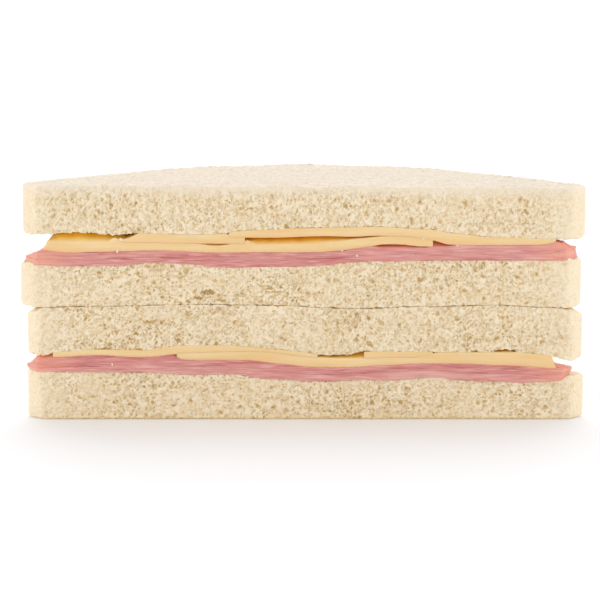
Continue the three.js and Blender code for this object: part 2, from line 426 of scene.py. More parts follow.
@dataclass
class Layer:
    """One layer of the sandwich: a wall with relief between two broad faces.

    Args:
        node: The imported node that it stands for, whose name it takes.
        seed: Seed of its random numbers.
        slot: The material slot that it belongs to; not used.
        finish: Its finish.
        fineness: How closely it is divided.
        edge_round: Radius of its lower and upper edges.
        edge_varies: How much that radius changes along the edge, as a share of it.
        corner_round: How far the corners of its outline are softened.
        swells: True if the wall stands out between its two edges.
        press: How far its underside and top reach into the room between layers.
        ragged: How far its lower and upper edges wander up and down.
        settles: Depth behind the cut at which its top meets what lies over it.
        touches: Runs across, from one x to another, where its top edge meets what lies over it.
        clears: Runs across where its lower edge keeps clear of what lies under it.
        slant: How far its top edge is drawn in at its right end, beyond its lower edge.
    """

    # The outline and its stations
    TURN_BLUR: ClassVar[float] = 2.5 * MM
    EDGE_BLUR: ClassVar[float] = 1.6 * MM
    SLANT_RUN: ClassVar[float] = 3.5 * MM
    READ_INSIDE: ClassVar[float] = 0.5 * MM

    # Where the layer meets its neighbours
    SHUT_BELOW: ClassVar[tuple[float, float]] = (0.15 * MM, 0.4 * MM)
    SHUT_BEHIND: ClassVar[tuple[float, float]] = (2 * MM, 6 * MM)
    STAYS_OPEN: ClassVar[tuple[float, float]] = (1.7 * MM, 2.3 * MM)
    TOUCH_FADE: ClassVar[float] = 1.2 * MM
    CLEARANCE: ClassVar[float] = 0.45 * MM

    # The wall: drifts are pairs of a share and the size of a cell
    LEAST_LEVELS: ClassVar[int] = 4
    SWELL: ClassVar[float] = 1.0 * MM
    EDGE_DRIFTS: ClassVar[tuple[tuple[float, float], ...]] = ((1.0, 0.45 * MM), (0.7, 2.2 * MM))
    ROUNDING_DRIFTS: ClassVar[tuple[tuple[float, float], ...]] = ((0.6, 1.3 * MM), (0.9, 7 * MM))
    ROUNDING_LIMITS: ClassVar[tuple[float, float]] = (0.1, 2.0)

    # The broad faces
    # Depth inside a face's edge against which the mask for the painted shade of the gaps is measured.
    SHADED_FROM: ClassVar[float] = 7.0 * MM
    SIDE_SLOPE: ClassVar[float] = 1.5 * MM
    FACET_BLUR: ClassVar[float] = 1.5 * MM
    CALM_RIM: ClassVar[float] = 1.2 * MM
    JITTER: ClassVar[float] = 0.3
    RIM_STEPS: ClassVar[float] = 0.6
    RIM_MARGIN: ClassVar[float] = 0.8 * MM
    WELD: ClassVar[float] = 1e-9

    node: str
    seed: int
    slot: str = "bread"
    finish: Finish = Finish.CRUMB
    fineness: Fineness = SLICE_FINENESS
    edge_round: tuple[float, float] = (0.2 * MM, 0.2 * MM)
    edge_varies: float = 0.5
    corner_round: float = 1.2 * MM
    swells: bool = False
    press: tuple[float, float] = (0.0, 0.0)
    ragged: tuple[float, float] = (0.0, 0.0)
    settles: float = 0.0
    touches: tuple[tuple[float, float], ...] = ()
    clears: tuple[tuple[float, float], ...] = ()
    slant: float = 0.0

    def wall_relief(self, wall: Wall, rng: np.random.Generator) -> tuple[np.ndarray, np.ndarray]:
        """Gives the relief of the wall.

        Args:
            wall: The smooth wall.
            rng: The source of random numbers.

        Returns:
            How far each point lies inwards, and a mask from 0 to 1 of the places in hollows.
        """
        return np.zeros_like(wall.up), np.zeros_like(wall.up)

    def face_relief(
        self, surface: Surface, points: np.ndarray, rng: np.random.Generator
    ) -> tuple[np.ndarray, np.ndarray]:
        """Gives the relief of a broad face.

        Args:
            surface: Which face.
            points: Plan positions.
            rng: The source of random numbers.

        Returns:
            How far each point lies inside the face, and a mask of the places in hollows.
        """
        return np.zeros(len(points)), np.zeros(len(points))

    def within(self, across: np.ndarray, runs: tuple[tuple[float, float], ...]) -> np.ndarray:
        """Gives the share from 0 to 1 by which places across lie in any of some runs.

        Args:
            across: Places across.
            runs: The runs, from one x to another.

        Returns:
            One share for each place, which fades in and out at the ends of a run.
        """
        share = np.zeros_like(across)
        for start, end in runs:
            rise = smooth_step(across, start, start + self.TOUCH_FADE)
            fall = 1 - smooth_step(across, end - self.TOUCH_FADE, end)
            share = np.maximum(share, rise * fall)
        return share

    def shut_share(self, edge: np.ndarray, room: np.ndarray) -> np.ndarray:
        """Gives how far the top edge closes the room above it, near the cut face.

        Args:
            edge: Plan position of each station of the top edge.
            room: The room above each station.

        Returns:
            A share from 0, open, to 1, closed, for each station.
        """
        behind = edge[:, 1] - edge[:, 1].min()
        share = np.maximum(1 - smooth_step(room, *self.SHUT_BELOW), self.within(edge[:, 0], self.touches))
        return share * (1 - smooth_step(behind, *self.SHUT_BEHIND))

    def smooth_wall(self, pile: Pile, rng: np.random.Generator) -> tuple[Wall, np.ndarray]:
        """Makes the wall without relief.

        Args:
            pile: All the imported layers.
            rng: The source of random numbers.

        Returns:
            The wall, and the height of its lower edge at each station.
        """
        cad = pile.layers[self.node]
        front, side = coarse(self.fineness.front), coarse(self.fineness.side)
        angles = cad.outer.stations(front, side, cad.centre)
        aim = np.stack([np.cos(angles), np.sin(angles)], axis=1)

        def ring(outline: Outline) -> np.ndarray:
            """Returns an outline's points at the stations, with its corners softened."""
            points = cad.centre + aim * outline.reach(angles, cad.centre)[:, None]
            return blur_round(points, round(self.corner_round / front))

        outer, low, high = map(ring, (cad.outer, cad.outlines[Surface.UNDER], cad.outlines[Surface.TOP]))
        end = high[:, 0].max()
        high[:, 0] -= self.slant * smooth_step(high[:, 0], end - self.SLANT_RUN, end)
        ahead = np.roll(outer, -1, axis=0) - np.roll(outer, 1, axis=0)
        ahead /= np.linalg.norm(ahead, axis=1)[:, None]
        outward = np.stack([ahead[:, 1], -ahead[:, 0]], axis=1)
        outward = blur_round(outward, round(self.TURN_BLUR / front))
        along = np.concatenate([[0.0], np.cumsum(np.linalg.norm(np.diff(outer, axis=0), axis=1))])
        length = float(along[-1] + np.linalg.norm(outer[0] - outer[-1]))
        foot = cad.heights(Surface.UNDER, low - outward * self.READ_INSIDE) - self.press[0]
        in_front = 1 - smooth_step(low[:, 1] - low[:, 1].min(), *self.SHUT_BEHIND)
        foot += self.CLEARANCE * self.within(low[:, 0], self.clears) * in_front
        head = cad.heights(Surface.TOP, high - outward * self.READ_INSIDE)
        room = pile.room_above(self.node, high - outward * self.READ_INSIDE, head)
        head += self.press[1] + room * self.shut_share(high, room)
        foot, head = (blur_round(edge, round(self.EDGE_BLUR / front)) for edge in (foot, head))

        def drift(parts: tuple[tuple[float, float], ...]) -> np.ndarray:
            """Returns smooth random values along the edge, added up from shares in cells of a size."""
            flat = np.zeros_like(along)
            return sum(share * cloud(rng, along, flat, (cell, MM), length) for share, cell in parts)

        foot = foot + self.ragged[0] * drift(self.EDGE_DRIFTS)
        head = head + self.ragged[1] * drift(self.EDGE_DRIFTS)
        levels = round(float((head - foot).mean()) / coarse(self.fineness.rise))
        levels = max(self.LEAST_LEVELS, levels)
        share = np.linspace(0, 1, levels + 1)[:, None]
        up = share * (head - foot)[None, :]
        place = low[None] * (1 - share[..., None]) + high[None] * share[..., None]
        to_edge = np.minimum(up, (head - foot)[None, :] - up)
        if self.swells:
            place = place + (outer[None] - place) * arc(np.clip(to_edge / self.SWELL, 0, 1))[..., None]
        varied = 1 + self.edge_varies * drift(self.ROUNDING_DRIFTS)
        nearer_foot = up < 0.5 * (head - foot)[None, :]
        rounding = np.where(nearer_foot, *self.edge_round) * np.clip(varied, *self.ROUNDING_LIMITS)[None, :]
        inset = rounding * (1 - arc(np.clip(to_edge / rounding, 0, 1)))
        place = place - outward[None] * inset[..., None]
        return Wall(along, up, place, outward, length), foot

    def cap(
        self, cad: CadLayer, surface: Surface, ring: np.ndarray, rng: np.random.Generator
    ) -> tuple[np.ndarray, np.ndarray]:
        """Fills a broad face inside its ring.

        Args:
            cad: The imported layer.
            surface: Which face.
            ring: Plan positions of the wall's edge.
            rng: The source of random numbers.

        Returns:
            The new points inside the ring, and triangles. Numbers below the ring's length are the
            ring's own points, and the others follow in the order of the new points.
        """
        step = coarse(self.fineness.top if surface is Surface.TOP else self.fineness.under)
        low, high = ring.min(axis=0), ring.max(axis=0)
        xs, ys = np.meshgrid(np.arange(low[0], high[0], step), np.arange(low[1], high[1], step))
        inner = np.stack([xs.ravel(), ys.ravel()], axis=1)
        inner += rng.uniform(-self.JITTER, self.JITTER, inner.shape) * step
        away = ring - cad.centre
        ring_angle, ring_reach = np.arctan2(away[:, 1], away[:, 0]), np.hypot(away[:, 0], away[:, 1])
        order = np.argsort(ring_angle)

        def room(places: np.ndarray) -> np.ndarray:
            """Returns how far inside the ring each place lies, measured towards the centre."""
            out = places - cad.centre
            angle = np.arctan2(out[:, 1], out[:, 0])
            limit = np.interp(angle, ring_angle[order], ring_reach[order], period=2 * math.pi)
            return limit - np.hypot(out[:, 0], out[:, 1])

        inner = inner[room(inner) > min(self.RIM_STEPS * step, self.RIM_MARGIN)]
        points = np.concatenate([ring, inner])
        count = len(ring)
        edges = [(k, (k + 1) % count) for k in range(count)]
        result = delaunay_2d_cdt([Vector(p) for p in points], edges, [], 1, self.WELD, True)
        origin = np.array([ids[0] for ids in result[3]])
        triangles = origin[np.array(result[2])]
        on_ring = (triangles < count).all(axis=1)
        beyond = room(points[triangles].mean(axis=1)) < 0
        triangles = triangles[~(on_ring & beyond)]
        if surface is Surface.UNDER:
            triangles = triangles[:, ::-1]
        return inner, triangles

    def broad_face(
        self, pile: Pile, surface: Surface, ring: np.ndarray, rng: np.random.Generator
    ) -> tuple[np.ndarray, np.ndarray, dict[str, np.ndarray]]:
        """Makes one broad face with its relief.

        Args:
            pile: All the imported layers.
            surface: Which face.
            ring: Plan positions of the wall's edge.
            rng: The source of random numbers.

        Returns:
            The new points, the triangles as cap gives them, and the masks of the new points.
        """
        cad = pile.layers[self.node]
        inner, triangles = self.cap(cad, surface, ring, rng)
        inside = cad.outlines[surface].depth_of(inner)
        z = cad.soft_heights(surface, inner, self.FACET_BLUR)
        if self.settles and surface is Surface.TOP:
            behind = inner[:, 1] - ring[:, 1].min()
            share = smooth_step(behind, 0, self.settles) * smooth_step(inside, 0, self.SIDE_SLOPE)
            above = pile.room_above(self.node, inner, z)
            z += above * (1 - smooth_step(above, *self.STAYS_OPEN)) * share
        z += self.press[0 if surface is Surface.UNDER else 1] * surface.value
        depth, dips = self.face_relief(surface, inner, rng)
        z -= surface.value * depth * smooth_step(inside, 0, self.CALM_RIM)
        masks = {
            "hollow": dips,
            # How far inside its edge a point lies, by which the finishes paint shade on the faces inside the
            # pile.
            "inside": np.clip(inside / self.SHADED_FROM, 0, 1),
            "skin": self.face_skin(surface, inner),
        }
        return np.column_stack([inner, z]), triangles, masks

    def build(self, pile: Pile) -> bpy.types.Object:
        """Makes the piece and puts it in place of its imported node.

        Args:
            pile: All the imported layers.

        Returns:
            The finished object.
        """
        rng = np.random.default_rng(self.seed)
        wall, foot = self.smooth_wall(pile, rng)
        relief, hollow = self.wall_relief(wall, rng)
        place = wall.place - wall.outward[None] * relief[..., None]
        grid = np.concatenate([place, (foot[None] + wall.up)[..., None]], axis=2)
        levels, stations = wall.up.shape
        index = np.arange(levels * stations).reshape(levels, stations)
        ahead = np.roll(index, -1, axis=1)
        quads = np.stack([index[:-1], ahead[:-1], ahead[1:], index[1:]], axis=-1).reshape(-1, 4)
        points = [grid.reshape(-1, 3)]
        faces: list[list[int]] = quads.tolist()
        skin, inside = self.wall_masks(wall, rng)
        masks = {"hollow": [hollow.ravel()], "inside": [inside.ravel()], "skin": [skin.ravel()]}
        total = levels * stations
        for surface, level in ((Surface.UNDER, 0), (Surface.TOP, -1)):
            inner, triangles, face_masks = self.broad_face(pile, surface, grid[level, :, :2], rng)
            to_point = np.concatenate([index[level], np.arange(total, total + len(inner))])
            faces.extend(to_point[triangles].tolist())
            points.append(inner)
            for key, mask in face_masks.items():
                masks[key].append(mask)
            total += len(inner)
        mesh = bpy.data.meshes.new(self.node)
        corners = np.clip(np.concatenate(points), np.array(CAD_BOX[0]), np.array(CAD_BOX[1]))
        mesh.from_pydata(corners.tolist(), [], faces)
        mesh.polygons.foreach_set("use_smooth", np.ones(len(mesh.polygons), bool))
        for key, parts in masks.items():
            layer = mesh.attributes.new(key, "FLOAT", "POINT")
            layer.data.foreach_set("value", np.concatenate(parts).astype(np.float32))
        mesh.update()
        piece = put_in_scene(self.node, mesh)
        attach(piece, BODY)
        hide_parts(self.node)
        log.info("%s: %d points, %d faces", self.node, len(mesh.vertices), len(mesh.polygons))
        return piece

    def wall_masks(self, wall: Wall, rng: np.random.Generator) -> tuple[np.ndarray, np.ndarray]:
        """Gives two masks over the wall.

        Args:
            wall: The smooth wall.
            rng: The source of random numbers.

        Returns:
            The skin, from 0 on the cut face to 1 on a trimmed side or a tip, and how far the wall
            has the look of the broad face that is seen.
        """
        return np.zeros_like(wall.up), np.zeros_like(wall.up)

    def face_skin(self, surface: Surface, points: np.ndarray) -> np.ndarray:
        """Returns the same mask for points of a broad face."""
        return np.ones(len(points))


def cell_pattern(
    rng: np.random.Generator,
    across: np.ndarray,
    up: np.ndarray,
    cell: tuple[float, float],
    round_trip: float,
) -> tuple[np.ndarray, np.ndarray]:
    """Divides a wall into uneven cells round scattered points.

    Args:
        rng: The source of random numbers.
        across: Places along the wall.
        up: Places up the wall, of the same shape.
        cell: Size of a cell across and up.
        round_trip: Length of the closed line, at which the cells meet their own start.

    Returns:
        How far each place lies from its cell's border, 0 on the border and about 1 in the middle,
        and a random number from 0 to 1 for its cell.
    """
    columns = max(3, round(round_trip / cell[0]))
    u = across * columns / round_trip
    v = (up - up.min()) / cell[1]
    rows = int(v.max()) + 3
    seat = rng.uniform(0.08, 0.92, (columns, rows, 2))
    number = rng.uniform(0, 1, (columns, rows))
    i, j = np.floor(u).astype(int), np.floor(v).astype(int)
    nearest = np.full(u.shape, 9.0)
    second = np.full(u.shape, 9.0)
    own = np.zeros(u.shape)
    for di in (-1, 0, 1):
        for dj in (-1, 0, 1):
            column, row = (i + di) % columns, np.clip(j + dj + 1, 0, rows - 1)
            away = np.hypot(i + di + seat[column, row, 0] - u, j + dj + seat[column, row, 1] - v)
            closer = away < nearest
            second = np.where(closer, nearest, np.minimum(second, away))
            own = np.where(closer, number[column, row], own)
            nearest = np.where(closer, away, nearest)
    return second - nearest, own


@dataclass(frozen=True)
class Bubbles:
    """One size of bubble in the crumb, cut open, with a thin wall round each.

    Args:
        size: Width and height of a bubble.
        wall: How far from its border a bubble begins to dip, and where it is at its full depth.
        closed: Share of the cells that hold no open bubble.
        depth: Depth of the deepest.
    """

    size: tuple[float, float]
    wall: tuple[float, float]
    closed: float
    depth: float

    def relief(self, wall: Wall, bend: list[np.ndarray], rng: np.random.Generator) -> np.ndarray:
        """Gives the depth of the bubbles over a wall.

        Args:
            wall: The smooth wall.
            bend: Small shifts that make the bubbles uneven, across and up.
            rng: The source of random numbers.

        Returns:
            How far each point lies inwards.
        """
        across = (wall.across + bend[0]) % wall.length
        border, own = cell_pattern(rng, across, wall.up + bend[1], self.size, wall.length)
        open_share = np.clip((own - self.closed) / (1 - self.closed), 0, 1)
        return self.depth * smooth_step(border, *self.wall) * open_share


def press_hole(
    relief: np.ndarray,
    wall: Wall,
    bend: list[np.ndarray],
    place: tuple[float, float],
    size: tuple[float, float],
    depth: float,
) -> None:
    """Presses one hole into a wall.

    Args:
        relief: The wall's relief, which is deepened.
        wall: The smooth wall.
        bend: Small shifts that make the hole uneven, across and up.
        place: Distance round the outline, and share of the height.
        size: Half the width and half the height.
        depth: Depth in its middle.
    """
    margin = 1.3
    reach = max(size) * margin
    first, last = np.searchsorted(wall.along, (place[0] - reach, place[0] + reach))
    if last - first < 1:
        return
    middle = min(first + (last - first) // 2, len(wall.along) - 1)
    height = wall.up[-1, middle]
    levels = wall.up.shape[0] - 1
    low = max(0, int((place[1] * height - reach) / height * levels))
    high = min(levels + 1, int((place[1] * height + reach) / height * levels) + 2)
    window = np.s_[low:high, first:last]
    a = (wall.along[first:last][None, :] + bend[0][window] - place[0]) / size[0]
    b = (wall.up[window] + bend[1][window] - place[1] * height) / size[1]
    bowl = np.sqrt(np.clip(1 - a * a - b * b, 0, 1)) * depth
    relief[window] = np.maximum(relief[window], bowl)


@dataclass(frozen=True)
class Hole:
    """A large hole that the oven left in the cut face.

    Args:
        x: Place across.
        rise: Share of the slice's thickness, from below.
        size: Half the width and half the height.
        depth: Depth in its middle.
    """

    x: float
    rise: float
    size: tuple[float, float]
    depth: float


@dataclass
class Bread(Layer):
    """A half slice of crustless white bread with an open, cut crumb.

    Args:
        holes: Its large holes.
        bubbles: The sizes of bubble in its crumb.
        waviness: How far the cut face swings in and out.
        grit: How far single grains stand out.
        deepest: Depth that counts as fully hollow.
        coarseness: Depth of its bubbles, as a share of the usual one.
        open_top: True if its upper face is seen, and so has relief.
        stands: True if it stands on the floor, where shade is painted along its foot.
    """

    # Where the cut face ends, for its bubbles and its look
    FADES_BEHIND: ClassVar[tuple[float, float]] = (4 * MM, 14 * MM)
    SIDE_TURNS: ClassVar[tuple[float, float]] = (-1.0, -0.5)
    TIP: ClassVar[tuple[float, float]] = (54 * MM, 66 * MM)
    RIM_FADE: ClassVar[float] = 3.1 * MM
    RIM_LOOK: ClassVar[float] = 0.07
    TOP_LOOK: ClassVar[float] = 0.15

    # The wall: how far bubbles wander, and how much flatter they are off the cut face
    BEND: ClassVar[float] = 0.13 * MM
    BEND_CELL: ClassVar[float] = 0.42 * MM
    HOLE_BEND: ClassVar[float] = 1.5
    SIDE_CALM: ClassVar[float] = 0.3
    FRONT_SIDE_CALM: ClassVar[float] = 0.25
    TIP_CALM: ClassVar[float] = 0.2
    TOP_RIM_CALM: ClassVar[float] = 0.45
    # Painted shade along the foot of a slice on the floor: its strength, and the heights over which it fades
    # out.
    FOOT_SHADE: ClassVar[float] = 0.7
    FOOT_RISE: ClassVar[tuple[float, float]] = (0.1 * MM, 0.7 * MM)

    # The paler rim: how far down it reaches, and how uneven it is
    SPECKLE: ClassVar[float] = 0.6 * MM
    RIM_REACH: ClassVar[float] = 0.9 * MM
    TOP_RIM_REACH: ClassVar[float] = 1.6 * MM
    RIM_UNEVEN: ClassVar[float] = 0.7 * MM

    # The broad faces
    SAG: ClassVar[float] = 0.06 * MM
    TOP_CELL: ClassVar[tuple[float, float]] = (1.3 * MM, 1.5 * MM)
    TOP_DIP: ClassVar[float] = 0.32 * MM
    TOP_GRAIN: ClassVar[float] = 0.13 * MM

    fineness: Fineness = CRUMB_FINENESS
    edge_round: tuple[float, float] = (0.10 * MM, 0.10 * MM)
    edge_varies: float = 0.9
    corner_round: float = 1.7 * MM
    swells: bool = True
    press: tuple[float, float] = (0.27 * MM, 0.27 * MM)
    ragged: tuple[float, float] = (0.25 * MM, 0.25 * MM)
    settles: float = 2.2 * MM
    holes: tuple[Hole, ...] = ()
    bubbles: tuple[Bubbles, ...] = (
        Bubbles((0.56 * MM, 0.50 * MM), (0.08, 0.46), 0.12, 0.30 * MM),
        Bubbles((0.92 * MM, 0.82 * MM), (0.12, 0.60), 0.60, 0.42 * MM),
        Bubbles((1.60 * MM, 1.25 * MM), (0.15, 0.60), 0.83, 0.52 * MM),
    )
    waviness: float = 0.10 * MM
    grit: float = 0.05 * MM
    deepest: float = 0.36 * MM
    coarseness: float = 1.0
    open_top: bool = False
    stands: bool = False

    def side_share(self, wall: Wall) -> np.ndarray:
        """Returns 0 at the stations on the cut face and 1 on those of the trimmed sides."""
        return smooth_step(wall.outward[:, 1] / np.linalg.norm(wall.outward, axis=1), *self.SIDE_TURNS)

    def tip_share(self, wall: Wall) -> np.ndarray:
        """Returns 0 over the middle of the slice, rising to 1 at its two tips."""
        return smooth_step(np.abs(wall.place[..., 0]), *self.TIP)

    def rim_share(self, wall: Wall) -> np.ndarray:
        """Returns 1 at the upper edge of the wall, falling to 0 some way below it."""
        return np.clip(1 - (wall.up[-1][None, :] - wall.up) / self.RIM_FADE, 0, 1)

    def near_cut(self, wall: Wall) -> np.ndarray:
        """Returns 1 near the cut face, falling to 0 further back along the sides."""
        behind = wall.place[..., 1] - wall.place[..., 1].min()
        return 1 - smooth_step(behind, *self.FADES_BEHIND)

    def wall_relief(self, wall: Wall, rng: np.random.Generator) -> tuple[np.ndarray, np.ndarray]:
        """Gives the wall its waves, bubbles and grains.

        Args:
            wall: The smooth wall.
            rng: The source of random numbers.

        Returns:
            How far each point lies inwards, and a mask of the places in bubbles, by which the finish paints
            shade in them and along the foot of a slice that stands.
        """
        bend = [self.BEND * wall.cloud(rng, self.BEND_CELL, self.BEND_CELL) for _ in range(2)]
        dips = np.zeros_like(wall.up)
        for kind in self.bubbles:
            dips = np.maximum(dips, kind.relief(wall, bend, rng))
        even = self.coarseness * (0.8 + 0.24 * wall.cloud(rng, 10 * MM, 5 * MM))
        side = self.side_share(wall)[None, :] * (self.SIDE_CALM + self.FRONT_SIDE_CALM * self.near_cut(wall))
        dips *= even * (1 - side) * (1 - self.TIP_CALM * self.tip_share(wall))
        if self.open_top:
            dips *= 1 - self.TOP_RIM_CALM * self.rim_share(wall)
        hole_bend = [self.HOLE_BEND * shift for shift in bend]
        for hole in self.holes:
            station = int(np.argmin(np.abs(wall.place[0, :, 0] - hole.x) + 2 * wall.place[0, :, 1]))
            place = wall.along[station], hole.rise
            press_hole(dips, wall, hole_bend, place, hole.size, hole.depth)
        waves = self.waviness * wall.cloud(rng, 9 * MM, 5 * MM)
        grains = self.grit * wall.cloud(rng, 0.3 * MM, 0.3 * MM)
        relief = waves + dips + grains
        # The mask by which the finish paints shade in the bubbles, darker the deeper they are.
        hollow = np.clip(dips / self.deepest, 0, 1)
        # Painted shade: the foot of a slice that stands on the floor takes the darker colour of the bubbles.
        if self.stands:
            shade = self.FOOT_SHADE * (1 - smooth_step(wall.up, *self.FOOT_RISE))
            hollow = np.maximum(hollow, shade)
        return relief - float(np.median(relief)), hollow

    def wall_masks(self, wall: Wall, rng: np.random.Generator) -> tuple[np.ndarray, np.ndarray]:
        """Gives the wall the paler look of its trimmed sides, of its tips, where it also stands for painted
        light, and of its upper edge.

        Args:
            wall: The smooth wall.
            rng: The source of random numbers.

        Returns:
            The skin, from 0 on the cut face to 1 on a trimmed side or a tip, and how far the wall
            has the look of the broad face that is seen.
        """
        speckle = wall.cloud(rng, self.SPECKLE, self.SPECKLE)
        near = self.near_cut(wall)
        sides = self.side_share(wall)[None, :] * (0.5 + 0.5 * near + 0.2 * speckle)
        # The tips take the paler colour too, which there stands for painted light.
        sides = np.maximum(sides, self.tip_share(wall) * near * (0.65 + 0.2 * speckle))
        below_top = wall.up[-1][None, :] - wall.up
        reach = self.TOP_RIM_REACH if self.open_top else self.RIM_REACH
        rim = np.clip(1 - (below_top + self.RIM_UNEVEN * speckle) / reach, 0, 1)
        if not self.open_top:
            return np.clip(sides + 0.4 * rim, 0, 1), np.zeros_like(rim)
        edge = np.clip(1 - 2 * below_top / self.edge_round[1], 0, 1)
        skin = np.maximum(np.clip(sides + 0.7 * rim, 0, 1), edge)
        return skin, np.maximum(self.TOP_LOOK * edge, self.RIM_LOOK * self.rim_share(wall))

    def face_relief(
        self, surface: Surface, points: np.ndarray, rng: np.random.Generator
    ) -> tuple[np.ndarray, np.ndarray]:
        """Gives a sliced face its shallow, even crumb.

        Args:
            surface: Which face.
            points: Plan positions.
            rng: The source of random numbers.

        Returns:
            How far each point lies inside the face, and a mask of the places in bubbles.
        """
        x, y = (points - points.min(axis=0)).T
        depth = self.SAG * (1 + cloud(rng, x, y, (6 * MM, 6 * MM)))
        if surface is Surface.UNDER or not self.open_top:
            return depth, np.zeros(len(points))
        border, own = cell_pattern(rng, x, y, self.TOP_CELL, float(x.max()) + MM)
        dips = smooth_step(border, 0.1, 0.6) * np.clip((own - 0.15) / 0.85, 0, 1)
        grains = 1 + cloud(rng, x, y, (0.9 * MM, 1.1 * MM))
        return depth + self.TOP_DIP * dips + self.TOP_GRAIN * grains, dips

    def face_skin(self, surface: Surface, points: np.ndarray) -> np.ndarray:
        """Returns 1 on the broad face that is seen and 0 on the hidden ones."""
        return np.full(len(points), float(self.open_top and surface is Surface.TOP))


@dataclass
class Ham(Layer):
    """A slice of cooked ham, with soft fibres that run along it."""

    TIP: ClassVar[tuple[float, float]] = (50 * MM, 66 * MM)
    BEND: ClassVar[float] = 0.5 * MM
    FIBRE_CELL: ClassVar[tuple[float, float]] = (6 * MM, 0.45 * MM)
    FINE_CELL: ClassVar[tuple[float, float]] = (2.5 * MM, 0.22 * MM)
    FIBRE_DEPTH: ClassVar[float] = 0.045 * MM
    FINE_DEPTH: ClassVar[float] = 0.025 * MM
    BROAD_DEPTH: ClassVar[float] = 0.08 * MM

    slot: str = "ham"
    finish: Finish = Finish.HAM
    edge_round: tuple[float, float] = (0.06 * MM, 0.06 * MM)
    edge_varies: float = 1.0
    corner_round: float = 0.9 * MM
    press: tuple[float, float] = (0.18 * MM, 0.18 * MM)
    ragged: tuple[float, float] = (0.08 * MM, 0.08 * MM)
    settles: float = 2.8 * MM

    def wall_relief(self, wall: Wall, rng: np.random.Generator) -> tuple[np.ndarray, np.ndarray]:
        """Gives the edge of the slice its fibres.

        Args:
            wall: The smooth wall.
            rng: The source of random numbers.

        Returns:
            How far each point lies inwards, and a mask of the darker fibres.
        """
        across, length = wall.across, wall.length
        drifted = wall.up + self.BEND * wall.cloud(rng, 9 * MM, 9 * MM)
        fibres = cloud(rng, across, drifted, self.FIBRE_CELL, length)
        fine = cloud(rng, across, drifted, self.FINE_CELL, length)
        broad = 1 + wall.cloud(rng, 11 * MM, 4 * MM)
        relief = self.FIBRE_DEPTH * (1 + fibres) + self.FINE_DEPTH * (1 + fine) + self.BROAD_DEPTH * broad
        return relief, np.clip(0.5 + 0.5 * fibres + 0.25 * fine, 0, 1)

    def wall_masks(self, wall: Wall, rng: np.random.Generator) -> tuple[np.ndarray, np.ndarray]:
        """Gives a mask of the thin tips of the slice, where the finish paints light.

        Args:
            wall: The smooth wall.
            rng: The source of random numbers.

        Returns:
            The mask, and zeros, for the wall has no look of a broad face.
        """
        tips = smooth_step(np.abs(wall.place[..., 0]), *self.TIP)
        return tips * (1 + 0.25 * wall.cloud(rng, 5 * MM, 0.8 * MM)), np.zeros_like(tips)

    def face_skin(self, surface: Surface, points: np.ndarray) -> np.ndarray:
        """Returns the same mask for points of a broad face."""
        return smooth_step(np.abs(points[:, 0]), *self.TIP)


@dataclass
class Cheese(Layer):
    """A slice of mild cheese, smooth, with a faint drag of the knife."""

    STAYS_OPEN: ClassVar[tuple[float, float]] = (4.5 * MM, 5.0 * MM)
    DRAG_DEPTH: ClassVar[float] = 0.025 * MM
    BROAD_DEPTH: ClassVar[float] = 0.08 * MM

    slot: str = "cheese"
    finish: Finish = Finish.CHEESE
    edge_round: tuple[float, float] = (0.06 * MM, 0.06 * MM)
    corner_round: float = 1.3 * MM
    press: tuple[float, float] = (0.17 * MM, 0.17 * MM)
    ragged: tuple[float, float] = (0.03 * MM, 0.03 * MM)
    settles: float = 3.2 * MM

    def wall_relief(self, wall: Wall, rng: np.random.Generator) -> tuple[np.ndarray, np.ndarray]:
        """Gives the edge of the slice the faint marks of the knife.

        Args:
            wall: The smooth wall.
            rng: The source of random numbers.

        Returns:
            How far each point lies inwards, and how near it is to the slice's lower edge.
        """
        drag = wall.cloud(rng, 4 * MM, 0.5 * MM)
        broad = 1 + wall.cloud(rng, 14 * MM, 6 * MM)
        relief = self.DRAG_DEPTH * (1 + drag) + self.BROAD_DEPTH * broad
        return relief, np.clip(1 - wall.up / np.maximum(wall.up[-1], 0.1 * MM)[None, :], 0, 1)


Colour = tuple[float, float, float]


@dataclass(frozen=True)
class Sheen:
    """How a food takes the light, apart from its colour.

    Args:
        bump: Strength of its fine bumps.
        bump_depth: Depth of its fine bumps.
        inward: Share of the light that goes in under the surface.
        spread: How far red, green and blue light go there, as shares of the depth.
        depth: How deep the light goes.
        mirror: How much light the surface mirrors.
    """

    bump: float
    bump_depth: float
    inward: float
    spread: Colour
    depth: float
    mirror: float


